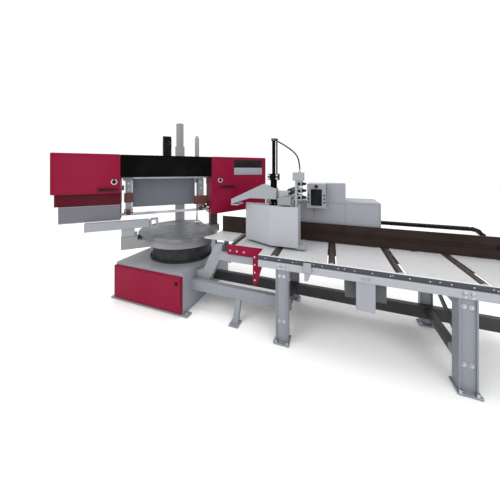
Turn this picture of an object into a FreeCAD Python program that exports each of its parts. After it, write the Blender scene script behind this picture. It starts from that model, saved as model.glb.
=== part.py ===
"""Horizontal mitre band saw with a roller infeed table and a gripper feed carriage.

Millimetres, +Z up, origin on the floor under the swivel axis of the saw. +X is the infeed side, +Y the
side away from the operator. Pieces of the saw head are given in the head's own axes (x along the band,
y away from the operator) and are turned about Z by the mitre angle at rest.
"""
import FreeCAD, Part
import Sketcher
import math
import os
import re

DIMENSIONS = {
    "general": {"mitre": 45, "table_top": 800, "run_gap": 0.5, "fit_gap": 0.05, "face_gap": 1},
    "base": {
        "base_left": 570, "base_right": 420, "case_front": 590, "case_back": 620, "pan_front": 610,
        "pan_thick": 20, "case_wall": 6, "deck_thick": 20, "deck_top": 460,
        "lug_reach": 70, "lug_wide": 90, "anchor_radius": 9,
        "cover_deep": 39, "cover_low": 40, "cover_high": 430, "cover_wall": 3, "cover_round": 14,
        "mast_x": -450, "mast_y": 560, "mast_wide": 110, "mast_step": 2013, "mast_tip_wide": 86,
        "mast_top": 2400,
    },
    "swivel": {
        "drum_radius": 390, "drum_wall": 30, "flange_radius": 424, "flange_thick": 20, "drum_top": 659,
        "kingpin_radius": 60, "carrier_low": 660, "carrier_top": 760, "carrier_radius": 490,
        "turntable_radius": 570, "turntable_front": 530, "turntable_side": 345,
        "kerf_wide": 10, "kerf_deep": 14, "arm_left": 760, "arm_inner": 420, "arm_step": 580,
        "arm_front": 230, "arm_back": 40, "arm_top": 805, "rear_arm_left": 300, "rear_arm_right": 600,
        "rear_arm_front": 180, "rear_arm_back": 320,
        "column_x": 520, "column_y": 250, "column_wide": 110, "column_top": 1815,
        "lift_x": 262, "lift_y": 250, "lift_rod_radius": 16, "lift_rod_top": 1840,
        "guard_left": 640, "guard_right": 215, "guard_y": 195, "guard_thick": 6, "guard_low": 1110,
        "guard_high": 1530, "guard_bar_low": 1105, "guard_bar_high": 1160, "guard_bar_thick": 12,
        "vise_left": 1130, "vise_right": 450, "vise_front": 225, "vise_back": 155, "vise_low": 905,
        "vise_high": 1000, "vise_wall": 10, "ram_back": 1000, "jaw_left": 430, "jaw_right": 350,
        "jaw_plate": 12,
    },
    "saw_head": {
        "case_low": 1195, "head_top": 1797, "sheet": 5, "left_outer": 1425, "left_inner": 765,
        "right_inner": 365, "right_outer": 1219, "right_low": 1000, "right_low_outer": 1060,
        "case_face": 140, "door_back": 143, "door_face": 200, "door_round": 14, "door_wall": 3,
        "left_door_outer": 1444, "left_door_low": 1336, "door_high": 1800,
        "apron_high": 1333, "tray_outer": 1385, "tray_low": 1005, "tray_face": 150,
        "casting_front": 80, "casting_back": 120, "throat_top": 1540,
        "bridge_low": 1524, "bridge_face": 195, "wheel_radius": 315, "wheel_wide": 50,
        "wheel_z": 1375, "drive_x": 868, "idler_x": 1095, "axle_radius": 30, "hub_radius": 62,
        "band_thick": 1.3, "band_wide": 34, "band_low": 1030,
        "rail_wide": 40, "rail_low": 1500, "left_guide_x": 685, "right_guide_x": 250,
        "guide_low": 1036, "guide_high": 1110, "barrel_radius": 33, "barrel_low": 1420,
        "barrel_top": 2142, "slide_low": 1400, "slide_high": 1690,
        "latch_radius": 21, "latch_z": 1470, "handle_z": 1383,
    },
    "infeed": {
        "table_front": 600, "table_back": 270, "table_left": 1290, "table_right": 3450,
        "rail_bottom": 682, "rail_step": 745, "rail_lip": 795, "flange_high": 738, "rail_wall": 8, "flange_deep": 60,
        "first_roller": 930, "roller_pitch": 510, "roller_radius": 30, "journal_radius": 10,
        "roller_front": 565, "roller_back": 235, "short_roller_front": 412,
        "plate_top": 794, "plate_thick": 5, "leg_x_one": 1516, "leg_x_two": 2862, "leg_wide": 110,
        "leg_wall": 9, "foot_thick": 15, "foot_wide": 140, "rear_leg_front": 200,
        "fence_front": 50, "fence_thick": 20, "fence_left": 600, "fence_high": 1003,
        "slot_low": 882, "slot_high": 922, "slot_left": 900, "slot_right": 3350,
    },
    "feed_carriage": {
        "beam_left": 1000, "beam_front": 320, "beam_back": 430, "beam_low": 560, "beam_high": 700,
        "way_high": 720, "box_left": 1430, "box_right": 2436, "box_front": 100, "box_back": 520,
        "box_low": 870, "box_high": 1250, "box_wall": 4, "yoke_left": 1440, "yoke_right": 1560,
        "yoke_front": 362, "yoke_top": 1330, "jaw_box_tip": 1020, "jaw_box_bend": 1350,
        "jaw_box_end": 1634, "jaw_box_front": 360, "jaw_box_low": 820, "jaw_box_high": 1233,
        "clamp_x": 1361, "clamp_y": -250, "clamp_radius": 35,
    },
}
ALIASES = {name for cells in DIMENSIONS.values() for name in cells}
WORD = re.compile(r"[a-z][a-z_]*")

DOC = FreeCAD.newDocument("mitre_band_saw")
SHEET = DOC.addObject("Spreadsheet::Sheet", "dims")
NODES = []


def fill_sheet():
    """Write every driving dimension to the sheet under its own alias."""
    row = 1
    for title, cells in DIMENSIONS.items():
        SHEET.set(f"A{row}", title)
        for name, value in cells.items():
            row += 1
            SHEET.set(f"A{row}", name)
            SHEET.set(f"B{row}", str(value))
            SHEET.setAlias(f"B{row}", name)
        row += 2
    DOC.recompute()


def bound(text):
    """An expression in plain aliases, written the way the document's expressions need it."""
    return WORD.sub(lambda word: "dims." + word[0] if word[0] in ALIASES else word[0], str(text))


def size(text):
    """The present value of an expression in millimetres or degrees."""
    return float(SHEET.evalExpression(bound(text)))


def bind(piece, **formulas):
    """Tie properties of a piece to the sheet."""
    for name, formula in formulas.items():
        piece.setExpression(name, bound(formula))
    return piece


def put(piece, x=0, y=0, z=0):
    """Tie a piece's place to the sheet."""
    for axis, formula in (("x", x), ("y", y), ("z", z)):
        piece.setExpression(f"Placement.Base.{axis}", bound(formula))
    return piece


def block(label, x, y, z):
    """A rectangular block, each side given as (low, high)."""
    piece = DOC.addObject("Part::Box", label)
    bind(piece, Length=f"({x[1]}) - ({x[0]})", Width=f"({y[1]}) - ({y[0]})", Height=f"({z[1]}) - ({z[0]})")
    return put(piece, x[0], y[0], z[0])


TURNS = {
    "x": FreeCAD.Rotation(FreeCAD.Vector(0, 1, 0), 90),
    "y": FreeCAD.Rotation(FreeCAD.Vector(1, 0, 0), -90),
    "z": FreeCAD.Rotation(),
}


def rod(label, radius, start, length, along="z"):
    """A round bar from its start point, along one axis."""
    piece = DOC.addObject("Part::Cylinder", label)
    piece.Placement = FreeCAD.Placement(FreeCAD.Vector(), TURNS[along])
    bind(piece, Radius=radius, Height=length)
    return put(piece, *start)


def cut(label, base, *tools):
    """A piece with one or more tools taken out of it."""
    piece = DOC.addObject("Part::Cut", label)
    piece.Base = base
    piece.Tool = tools[0] if len(tools) == 1 else group(label + " tools", *tools)
    return piece


def join(label, *pieces):
    """Pieces welded or cast into one solid."""
    piece = DOC.addObject("Part::MultiFuse", label)
    piece.Shapes = list(pieces)
    piece.Refine = True
    return piece


def group(label, *pieces):
    """Pieces kept apart and held together as one object."""
    piece = DOC.addObject("Part::Compound", label)
    piece.Links = list(pieces)
    return piece


def turned(piece):
    """A piece given in the saw head's axes, turned to the mitre angle."""
    piece.setExpression("Placement.Rotation.Angle", bound("mitre"))
    return piece


def node(name, *pieces):
    """One finished sub-part in the machine's axes, named for its file."""
    sub_part = group(name, *pieces)
    sub_part.Label = name
    NODES.append(sub_part)
    return sub_part


def head_node(name, *pieces):
    """One finished sub-part given in the saw head's axes."""
    return turned(node(name, *pieces))


def sketched(label, plane, outline):
    """A body with one closed outline on one of its own origin planes, each corner tied to the sheet."""
    body = DOC.addObject("PartDesign::Body", label)
    origin_plane = next(item for item in body.Origin.OriginFeatures if item.Role == plane)
    sketch = body.newObject("Sketcher::SketchObject", label + " outline")
    sketch.AttachmentSupport = [(origin_plane, "")]
    sketch.MapMode = "FlatFace"
    corners = [FreeCAD.Vector(size(across), size(up), 0) for across, up in outline]
    lines = [Part.LineSegment(a, b) for a, b in zip(corners, corners[1:] + corners[:1])]
    sketch.addGeometry(lines, False)
    count = len(corners)
    for index, (across, up) in enumerate(outline):
        sketch.addConstraint(Sketcher.Constraint("Coincident", index, 2, (index + 1) % count, 1))
        for kind, formula in (("DistanceX", across), ("DistanceY", up)):
            number = sketch.addConstraint(Sketcher.Constraint(kind, -1, 1, index, 1, size(formula)))
            sketch.setExpression(f"Constraints[{number}]", bound(formula))
    return body, sketch


def padded(label, plane, outline, length, offset=0, reverse=False):
    """An outline pushed to a length. On XZ the pad runs towards -Y, or +Y when reversed."""
    body, sketch = sketched(label, plane, outline)
    pad = body.newObject("PartDesign::Pad", label + " pad")
    pad.Profile = sketch
    pad.Reversed = reverse
    bind(pad, Length=length)
    body.Tip = pad
    shift = {"XY_Plane": (0, 0, offset), "XZ_Plane": (0, offset, 0), "YZ_Plane": (offset, 0, 0)}[plane]
    return put(body, *shift)


def spun(label, outline, centre, along="z"):
    """An outline of (radius, height) spun about its upright axis, then laid along an axis."""
    body, sketch = sketched(label, "XZ_Plane", outline)
    spin = body.newObject("PartDesign::Revolution", label + " spin")
    spin.Profile = sketch
    spin.ReferenceAxis = (sketch, ["V_Axis"])
    spin.Angle = 360
    body.Tip = spin
    body.Placement = FreeCAD.Placement(FreeCAD.Vector(), TURNS[along])
    return put(body, *centre)


def rounded(body, radius, direction, wanted=lambda middle: True):
    """Round a body's straight edges that run along a direction and whose middle is wanted."""
    DOC.recompute()
    tip = body.Tip
    names = []
    for number, edge in enumerate(tip.Shape.Edges, 1):
        ends = [vertex.Point for vertex in edge.Vertexes]
        if len(ends) == 2 and isinstance(edge.Curve, Part.Line):
            along = (ends[1] - ends[0]).normalize()
            if abs(along.dot(FreeCAD.Vector(*direction))) > 0.999 and wanted((ends[0] + ends[1]) * 0.5):
                names.append(f"Edge{number}")
    fillet = body.newObject("PartDesign::Fillet", body.Label + " rounding")
    fillet.Base = (tip, names)
    bind(fillet, Radius=radius)
    body.Tip = fillet
    return body


def base():
    """The floor pan, the welded case, its deck, the front cover and the mast behind."""
    pan = block("pan sheet", ("-base_left", "base_right"), ("-pan_front", "case_back"), (0, "pan_thick"))
    lugs, holes = [], []
    for side, edge in (("left", "-base_left"), ("right", "base_right")):
        outward = "- lug_reach" if side == "left" else "+ lug_reach"
        reach = (f"{edge} {outward}", edge) if side == "left" else (edge, f"{edge} {outward}")
        for end, low in (("front", "-pan_front"), ("back", "case_back - lug_wide")):
            lugs.append(block(f"{end} {side} lug", reach, (low, f"{low} + lug_wide"), (0, "pan_thick")))
            middle = (f"{edge} {outward} / 2", f"{low} + lug_wide / 2", -1)
            holes.append(rod(f"{end} {side} anchor", "anchor_radius", middle, "pan_thick + 2"))
    node("floor_pan", cut("pan with anchor holes", join("pan and lugs", pan, *lugs), *holes))

    case = block("case outside", ("-base_left", "base_right"), ("-case_front", "case_back"),
                 ("pan_thick", "deck_top - deck_thick"))
    inside = block("case inside", ("-base_left + case_wall", "base_right - case_wall"),
                   ("-case_front + case_wall", "case_back - case_wall"), (0, "deck_top"))
    deck = block("deck sheet", ("-base_left", "base_right"), ("-case_front", "case_back"),
                 ("deck_top - deck_thick", "deck_top"))
    pins = [rod(f"cover pin {low}", 5, ("-base_left - 8", "-case_front - face_gap", low), 70) for low in (90, 320)]
    ears = [block(f"cover ear {low}", ("-base_left - 13", "-base_left"), ("-case_front", "-case_front + 30"),
                  (low, f"{low} + 70")) for low in (90, 320)]
    node("base_case", join("case weld", cut("case walls", case, inside), deck, *ears, *pins))

    shell = padded("cover shell", "XY_Plane", [("-base_left", "-case_front - face_gap - cover_deep"),
                   ("base_right", "-case_front - face_gap - cover_deep"),
                   ("base_right", "-case_front - face_gap"), ("-base_left", "-case_front - face_gap")],
                   "cover_high - cover_low", "cover_low")
    front = size("-case_front - face_gap - cover_deep")
    rounded(shell, "cover_round", (0, 0, 1), lambda middle: abs(middle.y - front) < 1)
    hollow = block("cover hollow", ("-base_left + cover_wall", "base_right - cover_wall"),
                   ("-case_front - face_gap - cover_deep + cover_wall", "-case_front"),
                   ("cover_low - 1", "cover_high - cover_wall"))
    face = "-case_front - face_gap - cover_deep"
    node("base_cover", join("cover and lock", cut("cover sheet", shell, hollow),
         rod("cover lock", 15, (362, f"{face} - 12", 362), 13, "y")))

    half = "mast_wide / 2"
    lower = block("mast post", (f"mast_x - {half}", f"mast_x + {half}"), (f"mast_y - {half}", f"mast_y + {half}"),
                  ("deck_top", "mast_step"))
    tip = block("mast tip", ("mast_x - mast_tip_wide / 2", "mast_x + mast_tip_wide / 2"),
                ("mast_y - mast_tip_wide / 2", "mast_y + mast_tip_wide / 2"), ("mast_step", "mast_top"))
    node("hose_mast", join("mast", lower, tip))


def bearing():
    """The fixed drum that the swivel turns on, with its kingpin and the ring of bolts."""
    drum = spun("drum", [(0, "deck_top"), ("flange_radius", "deck_top"),
                         ("flange_radius", "deck_top + flange_thick"), ("drum_radius", "deck_top + flange_thick"),
                         ("drum_radius", "drum_top"), ("drum_radius - drum_wall", "drum_top"),
                         ("drum_radius - drum_wall", "deck_top + flange_thick"),
                         ("kingpin_radius", "deck_top + flange_thick"), ("kingpin_radius", "carrier_top - 5"),
                         (0, "carrier_top - 5")], (0, 0, 0))
    bolts = []
    for index in range(12):
        angle = f"{index * 30 + 15}"
        circle = "(flange_radius + drum_radius) / 2"
        bolts.append(rod(f"drum bolt {index}", 9, (f"{circle} * cos({angle})", f"{circle} * sin({angle})",
                         "deck_top + flange_thick"), 11))
    node("bearing_drum", join("drum and bolts", drum, *bolts))


def swivel():
    """The turning carrier, the turntable on it, the lift column, the splash guard and the vise arm."""
    ring = rod("carrier ring", "carrier_radius", (0, 0, "carrier_low"), "carrier_top - carrier_low")
    arm = padded("carrier arm", "XZ_Plane", [("-arm_left", "carrier_low"), ("-arm_inner", "carrier_low"),
                 ("-arm_inner", "carrier_top - 2"), ("-arm_step", "carrier_top - 2"), ("-arm_step", "arm_top"),
                 ("-arm_left", "arm_top")], "arm_front + arm_back", "arm_back")
    rear = block("carrier rear arm", ("rear_arm_left", "rear_arm_right"), ("rear_arm_front", "rear_arm_back"),
                 ("carrier_low", "carrier_top"))
    bore = rod("carrier bore", "kingpin_radius + fit_gap", (0, 0, "carrier_low - 1"),
               "carrier_top - carrier_low + 2")
    groove = block("band groove", ("-arm_left - 1", "-arm_step + 1"), ("-kerf_wide / 2", "kerf_wide / 2"),
                   ("table_top - kerf_deep", "arm_top + 1"))
    head_node("swivel_carrier", cut("bored carrier", join("carrier casting", ring, arm, rear), bore, groove))

    disc = rod("turntable disc", "turntable_radius", (0, 0, "carrier_top"), "table_top - carrier_top")
    flat = block("turntable front flat", (-700, 700), (-700, "-turntable_front"), (700, "table_top + 1"))
    kerf = turned(group("turned kerf", block("kerf", (-700, 400), ("-kerf_wide / 2", "kerf_wide / 2"),
                        ("table_top - kerf_deep", "table_top + 1"))))
    side = turned(group("turned side flat", block("turntable side flat", ("turntable_side", 700), (-700, 700),
                        (700, "table_top + 1"))))
    node("turntable", cut("turntable plate", disc, flat, kerf, side))

    half = "column_wide / 2"
    head_node("lift_column", block("column bar", (f"column_x - {half}", f"column_x + {half}"),
              (f"column_y - {half}", f"column_y + {half}"), ("carrier_top", "column_top")))
    head_node("lift_rod", join("rod and foot", rod("lift bar", "lift_rod_radius", ("lift_x", "lift_y", "table_top"),
              "lift_rod_top - table_top"), rod("lift foot", 40, ("lift_x", "lift_y", "table_top"), 16)))
    guard_back = "guard_y + guard_thick"
    head_node("splash_guard", join("guard and rail",
              block("guard sheet", ("-guard_left", "guard_right"), ("guard_y", guard_back), ("guard_low", "guard_high")),
              block("guard rail", ("-guard_left", f"column_x - {half}"), (guard_back, f"{guard_back} + guard_bar_thick"),
                    ("guard_bar_low", "guard_bar_high"))))

    foot = block("vise foot", ("-arm_left + 5", -610), ("-vise_front + 10", "-vise_back - 10"), ("arm_top", "vise_low"))
    tube = block("vise tube outside", ("-vise_left", "-vise_right"), ("-vise_front", "-vise_back"),
                 ("vise_low", "vise_high"))
    inside = block("vise tube inside", ("-vise_left + 20", "-vise_right + 1"),
                   ("-vise_front + vise_wall", "-vise_back - vise_wall"),
                   ("vise_low + vise_wall", "vise_high - vise_wall"))
    head_node("vise_arm", join("vise arm on its foot", cut("vise tube", tube, inside), foot))
    gap = "(vise_wall + run_gap)"
    ram = block("vise ram bar", ("-ram_back", "-jaw_left"),
                (f"-vise_front + {gap}", f"-vise_back - {gap}"), (f"vise_low + {gap}", f"vise_high - {gap}"))
    outside = block("jaw head outside", ("-jaw_left", "-jaw_right"), ("-vise_front - 5", "-vise_back + 5"),
                    ("vise_low - 5", "vise_high + 5"))
    window = block("jaw head window", ("-jaw_left + 14", "-jaw_right - 14"), ("-vise_front - 6", "-vise_back + 6"),
                   ("vise_low + 12", "vise_high - 12"))
    plate = block("jaw plate", ("-jaw_right", "-jaw_right + jaw_plate"), ("-vise_front - 5", "-vise_back + 5"),
                  ("vise_low - 10", "vise_high + 10"))
    head_node("vise_ram", join("vise ram and jaw", ram, cut("jaw head", outside, window), plate))


def casting():
    """The back frame of the saw head, with the window for the tension slide and the drive bearing seat."""
    plate = padded("head plate", "XZ_Plane", [("-left_outer + 25", "case_low + 5"), ("-left_inner - 15", "case_low + 5"),
                   ("-left_inner - 15", "throat_top"), ("right_inner + 15", "throat_top"),
                   ("right_inner + 15", "right_low + 70"), ("right_outer - 19", "right_low + 70"),
                   ("right_outer - 19", "head_top - 17"), ("-left_outer + 25", "head_top - 17")],
                   "casting_back - casting_front", "casting_front", True)
    window = block("tension window", ("-idler_x - 135", "-idler_x + 135"), ("casting_front - 1", "casting_back + 1"),
                   ("wheel_z - 60", "wheel_z + 60"))
    seat = rod("drive seat", "axle_radius + 12", ("drive_x", "casting_front - 1", "wheel_z"),
               "casting_back - casting_front + 2", "y")
    bearing_seat = ("drive_x", "casting_front", "wheel_z")
    deep = "casting_back - casting_front"
    ring = cut("bearing ring", rod("bearing outside", "axle_radius + 12", bearing_seat, deep, "y"),
               rod("bearing bore", "axle_radius + fit_gap", ("drive_x", "casting_front - 1", "wheel_z"),
                   f"{deep} + 2", "y"))
    half = "column_wide / 2"
    outside = block("slide outside", (f"column_x - {half} - 35", f"column_x + {half} + 35"),
                    ("casting_back", f"column_y + {half} + 35"), ("slide_low", "slide_high"))
    inside = block("slide bore", (f"column_x - {half} - run_gap", f"column_x + {half} + run_gap"),
                   (f"column_y - {half} - run_gap", f"column_y + {half} + run_gap"), ("slide_low - 1", "slide_high + 1"))
    head_node("head_casting", join("head frame with slide", cut("head frame", plate, window, seat), ring,
              cut("slide bored", outside, inside)))


def hinges(name, outer, wall_face, inward):
    """The two hinge ears beside a wheel case with their pins, one outline in from the door's outer edge."""
    ears = []
    for drop in (130, 330):
        low, high = f"door_high - {drop}", f"door_high - {drop - 70}"
        across = (f"{outer} - 13", wall_face) if inward > 0 else (wall_face, f"{outer} + 13")
        ears.append(block(f"{name} ear {drop}", across, ("-door_back + 1", "-door_back + 13"), (low, high)))
        ears.append(rod(f"{name} pin {drop}", 6, (f"{outer} - {inward * 7}", "-door_back + 7", f"{low} - 8"), 86))
    return ears


def cases():
    """The painted wheel cases, the grey trough under the idler wheel and the cover over the bridge."""
    face, back, low, high = "-case_face", "casting_front", "case_low", "head_top"
    outside = block("left case outside", ("-left_outer", "-left_inner"), (face, back), (low, high))
    inside = block("left case inside", ("-left_outer + sheet", "-left_inner - sheet"), (f"{face} + sheet", f"{back} + 1"),
                   (f"{low} - 1", f"{high} - sheet"))
    mouth = block("left case mouth", ("-left_outer + 12", "-left_inner - 12"), (f"{face} - 1", "-case_face + 10"),
                  ("apron_high", f"{high} - 12"))
    band = block("left case band window", ("-left_inner - 10", "-left_inner + 1"), (f"{face} + 12", f"{back} + 1"),
                 ("throat_top + 5", f"{high} - 12"))
    head_node("left_case", join("left case and hinges", cut("left case sheet", outside, inside, mouth, band),
              *hinges("left", "-left_door_outer", "-left_outer", 1)))

    outside = block("trough outside", ("-tray_outer", "-left_inner - 5"), ("-tray_face", back), ("tray_low", low))
    inside = block("trough inside", ("-tray_outer + sheet", "-left_inner"), ("-tray_face + sheet", f"{back} - sheet"),
                   ("tray_low + sheet", f"{low} + 1"))
    head_node("idler_trough", cut("trough sheet", outside, inside))

    right = [("right_inner", "right_low"), ("right_outer", "right_low_outer"), ("right_outer", "head_top"),
             ("right_inner", "head_top")]
    outside = padded("right case outside", "XZ_Plane", right, "case_face + casting_front", face, True)
    hollow = [("right_inner + sheet", "right_low + sheet"), ("right_outer - sheet", "right_low_outer + sheet"),
              ("right_outer - sheet", "head_top - sheet"), ("right_inner + sheet", "head_top - sheet")]
    inside = padded("right case inside", "XZ_Plane", hollow, "case_face + casting_front + 2", f"{face} - 1", True)
    upper = block("upper band window", ("right_inner - 1", "right_inner + 10"), (f"{face} + 12", f"{back} + 1"),
                  ("throat_top + 5", "head_top - 12"))
    lower = block("lower band window", ("right_inner - 1", "right_inner + 10"), (-40, 40), ("right_low + 20", 1120))
    head_node("right_case", join("right case and hinges", cut("right case sheet", outside, inside, upper, lower),
              *hinges("right", "right_outer", "right_outer", -1)))

    outside = block("bridge outside", ("-left_inner", "right_inner"), ("-bridge_face", back), ("bridge_low", high))
    inside = block("bridge inside", ("-left_inner - 1", "right_inner + 1"), ("-bridge_face + sheet", f"{back} + 1"),
                   ("bridge_low + sheet", f"{high} - sheet"))
    head_node("bridge_cover", cut("bridge sheet", outside, inside))


def door(name, left, right, low_left, low_right, inward):
    """One wheel door: a pan with a rounded rim and its grip, and the quarter-turn latch in it."""
    outline = [(left, low_left), (right, low_right), (right, "door_high"), (left, "door_high")]
    shell = padded(f"{name} shell", "XZ_Plane", outline, "door_face - door_back", "-door_face", True)
    rounded(shell, "door_round", (0, 1, 0))
    wall = "door_wall"
    pan = [(f"{left} + {wall}", f"{low_left} + {wall}"), (f"{right} - {wall}", f"{low_right} + {wall}"),
           (f"{right} - {wall}", f"door_high - {wall}"), (f"{left} + {wall}", f"door_high - {wall}")]
    hollow = padded(f"{name} hollow", "XZ_Plane", pan, "door_face - door_back", f"-door_face + {wall}", True)
    rounded(hollow, f"door_round - {wall}", (0, 1, 0))

    inner = right if inward > 0 else left
    latch_x = f"{inner} - 65" if inward > 0 else f"{inner} + 125"
    start, stop = (f"{inner} - 235", f"{inner} - 35") if inward > 0 else (f"{inner} + 115", f"{inner} + 355")
    grip = padded(f"{name} grip", "XY_Plane", [(start, "-door_face"), (start, "-door_face - 32"),
                  (stop, "-door_face - 32"), (stop, "-door_face"), (f"{stop} - 14", "-door_face"),
                  (f"{stop} - 14", "-door_face - 18"), (f"{start} + 14", "-door_face - 18"),
                  (f"{start} + 14", "-door_face")], 20, "handle_z - 10")
    stem = rod(f"{name} latch bore", "8 + fit_gap", (latch_x, "-door_face - 1", "latch_z"), "door_wall + 2", "y")
    head_node(f"{name}_door", join(f"{name} door and grip", cut(f"{name} door pan", shell, hollow, stem), grip))
    disc = rod(f"{name} latch disc", "latch_radius", (latch_x, "-door_face - 6", "latch_z"), 5.5, "y")
    lever = block(f"{name} latch lever", (f"{latch_x} - 7", f"{latch_x} + 7"), ("-door_face - 20", "-door_face - 6"),
                  ("latch_z - 6", "latch_z + 34"))
    shaft = rod(f"{name} latch stem", 8, (latch_x, "-door_face - 1", "latch_z"), "door_wall + 12", "y")
    head_node(f"{name}_latch", join(f"{name} latch knob", disc, lever, shaft))


def doors():
    """Both wheel doors with their latches."""
    door("left", "-left_door_outer", "-left_inner - 2", "left_door_low", "left_door_low", 1)
    door("right", "right_inner", "right_outer", "right_low", "right_low_outer", -1)


def wheel(name, centre_x, bore, *shaft):
    """A band wheel: rim, thin web with five openings and a hub, spun about its axle."""
    rim = "wheel_radius - 3 * fit_gap"
    outline = [(bore, "-wheel_wide / 2 - 4"), ("hub_radius", "-wheel_wide / 2 - 4"), ("hub_radius", -8),
               ("wheel_radius - 36", -8), ("wheel_radius - 30", "-wheel_wide / 2"),
               (rim, "-wheel_wide / 2"), (rim, "wheel_wide / 2"),
               ("wheel_radius - 30", "wheel_wide / 2"), ("wheel_radius - 36", 8), ("hub_radius", 8),
               ("hub_radius", "wheel_wide / 2 + 4"), (bore, "wheel_wide / 2 + 4")]
    solid = spun(f"{name} blank", outline, (centre_x, 0, "wheel_z"), "y")
    openings = []
    for index in range(5):
        angle, circle = f"{index * 72 + 18}", "(hub_radius + wheel_radius - 36) / 2"
        start = (f"{centre_x} + {circle} * cos({angle})", -10, f"wheel_z + {circle} * sin({angle})")
        openings.append(rod(f"{name} opening {index}", "(wheel_radius - hub_radius) / 5", start, 20, "y"))
    disc = cut(f"{name} disc", solid, *openings)
    head_node(name, join(f"{name} on shaft", disc, *shaft) if shaft else disc)


def running_gear():
    """Both wheels, the drive shaft with gearbox and motor, and the tensioned idler axle."""
    shaft = rod("shaft bar", "axle_radius", ("drive_x", -40, "wheel_z"), "casting_back + 39", "y")
    wheel("drive_wheel", "drive_x", "axle_radius - 2", shaft)
    wheel("idler_wheel", "-idler_x", "axle_radius + fit_gap")
    gearbox = block("gearbox block", ("drive_x - 110", "drive_x + 110"), ("casting_back", "casting_back + 150"),
                    ("wheel_z - 110", "wheel_z + 110"))
    motor = rod("motor barrel", 85, ("drive_x", "casting_back + 150", "wheel_z"), 250, "y")
    terminal = block("terminal box", ("drive_x - 50", "drive_x + 50"), ("casting_back + 190", "casting_back + 310"),
                     ("wheel_z + 70", "wheel_z + 130"))
    head_node("drive_unit", join("gearbox and motor", gearbox, motor, terminal))

    slide = block("tension block", ("-idler_x - 105", "-idler_x + 105"), ("casting_front - 1", "casting_back + 5"),
                  ("wheel_z - 60 + run_gap", "wheel_z + 60 - run_gap"))
    lug = block("tension lug", ("-idler_x - 10", "-idler_x + 10"), ("casting_back + 5", "casting_back + 60"),
                ("wheel_z - 30", "wheel_z + 30"))
    axle = rod("idler bar", "axle_radius", ("-idler_x", -40, "wheel_z"), "casting_front + 39", "y")
    pull = rod("tension bar", 13, ("-idler_x + 10", "casting_back + 42", "wheel_z"), 200, "x")
    head_node("tension_slide", join("tension slide with axle", slide, lug, axle, pull))
    barrel = rod("tension barrel", 34, ("-idler_x + 150", "casting_back + 42", "wheel_z"), 200, "x")
    foot = block("tension foot", ("-idler_x + 200", "-idler_x + 290"), ("casting_back", "casting_back + 42"),
                 ("wheel_z - 30", "wheel_z + 30"))
    bore = rod("tension bore", "13 + fit_gap", ("-idler_x + 149", "casting_back + 42", "wheel_z"), 130, "x")
    head_node("tension_cylinder", cut("tension cylinder bored", join("tension cylinder body", barrel, foot), bore))


def band_section(x, z, turn):
    """A closed outline across the band at a point: turn 0 is flat on the wheels, 90 is teeth down."""
    thick, wide = size("band_thick") / 2, size("band_wide") / 2
    corners = [(-thick, -wide), (thick, -wide), (thick, wide), (-thick, wide), (-thick, -wide)]
    swing = math.radians(turn)
    points = []
    for through, across in corners:
        up = through * math.cos(swing) + across * math.sin(swing)
        side = across * math.cos(swing) - through * math.sin(swing)
        points.append(FreeCAD.Vector(x, side, z + up))
    return Part.makePolygon(points)


def saw_band():
    """The endless band: half turns round the wheels, a flat top run and a twisted lower run."""
    radius, middle = size("wheel_radius"), size("wheel_z")
    drive, idler = size("drive_x"), -size("idler_x")
    thick, wide = size("band_thick"), size("band_wide")
    margin = 10
    top, bottom = middle + radius + thick / 2, middle - radius - thick / 2
    cutting = size("band_low + band_wide / 2")
    parts = []
    for x, first in ((idler, 90), (drive, 270)):
        ring = Part.makeCylinder(radius + thick, wide, FreeCAD.Vector(x, -wide / 2, middle),
                                 FreeCAD.Vector(0, 1, 0), 360)
        hole = Part.makeCylinder(radius, wide, FreeCAD.Vector(x, -wide / 2, middle), FreeCAD.Vector(0, 1, 0), 360)
        reach = radius + margin
        low_x = x - reach if first == 90 else x
        half = Part.makeBox(reach, wide + 2, 2 * reach, FreeCAD.Vector(low_x, -wide / 2 - 1, middle - reach))
        parts.append(ring.cut(hole).common(half))
    parts.append(Part.makeBox(drive - idler, wide, thick, FreeCAD.Vector(idler, -wide / 2, top - thick / 2)))
    left, right = size("-left_guide_x - 50"), size("right_guide_x + 50")
    parts.append(Part.makeBox(right - left, thick, wide, FreeCAD.Vector(left, -thick / 2, cutting - wide / 2)))
    for wheel_x, guide_x in ((idler, left), (drive, right)):
        sections = []
        for step in range(7):
            share = step / 6
            twist = share * share * (3 - 2 * share)
            sections.append(band_section(wheel_x + share * (guide_x - wheel_x),
                                         bottom + share * (cutting - bottom), 90 * twist))
        parts.append(Part.makeLoft(sections, True, True))
    band = DOC.addObject("Part::Feature", "band loop")
    band.Shape = parts[0].multiFuse(parts[1:])
    head_node("saw_band", band)


def guide(name, x, top, *shoe):
    """One band guide: an arm under the bridge, a slotted head and the carbide pads in the slot."""
    arm = block(f"{name} arm bar", (f"{x} - 35", f"{x} + 35"), (-30, 30), ("guide_high", top))
    block_outside = block(f"{name} head block", (f"{x} - 50", f"{x} + 50"), (-38, 38), ("guide_low", "guide_high"))
    slot = block(f"{name} head slot", (f"{x} - 51", f"{x} + 51"), (-11, 11),
                 ("guide_low - 1", "band_low + band_wide + 6"))
    pads = [block(f"{name} {side} pad", (f"{x} - 45", f"{x} + 45"), edges, ("band_low + 8", "band_low + band_wide + 6"))
            for side, edges in (("front", (-11, "-band_thick / 2 - 0.3")), ("back", ("band_thick / 2 + 0.3", 11)))]
    return [arm, cut(f"{name} slotted head", block_outside, slot), *pads, *shoe]


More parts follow.
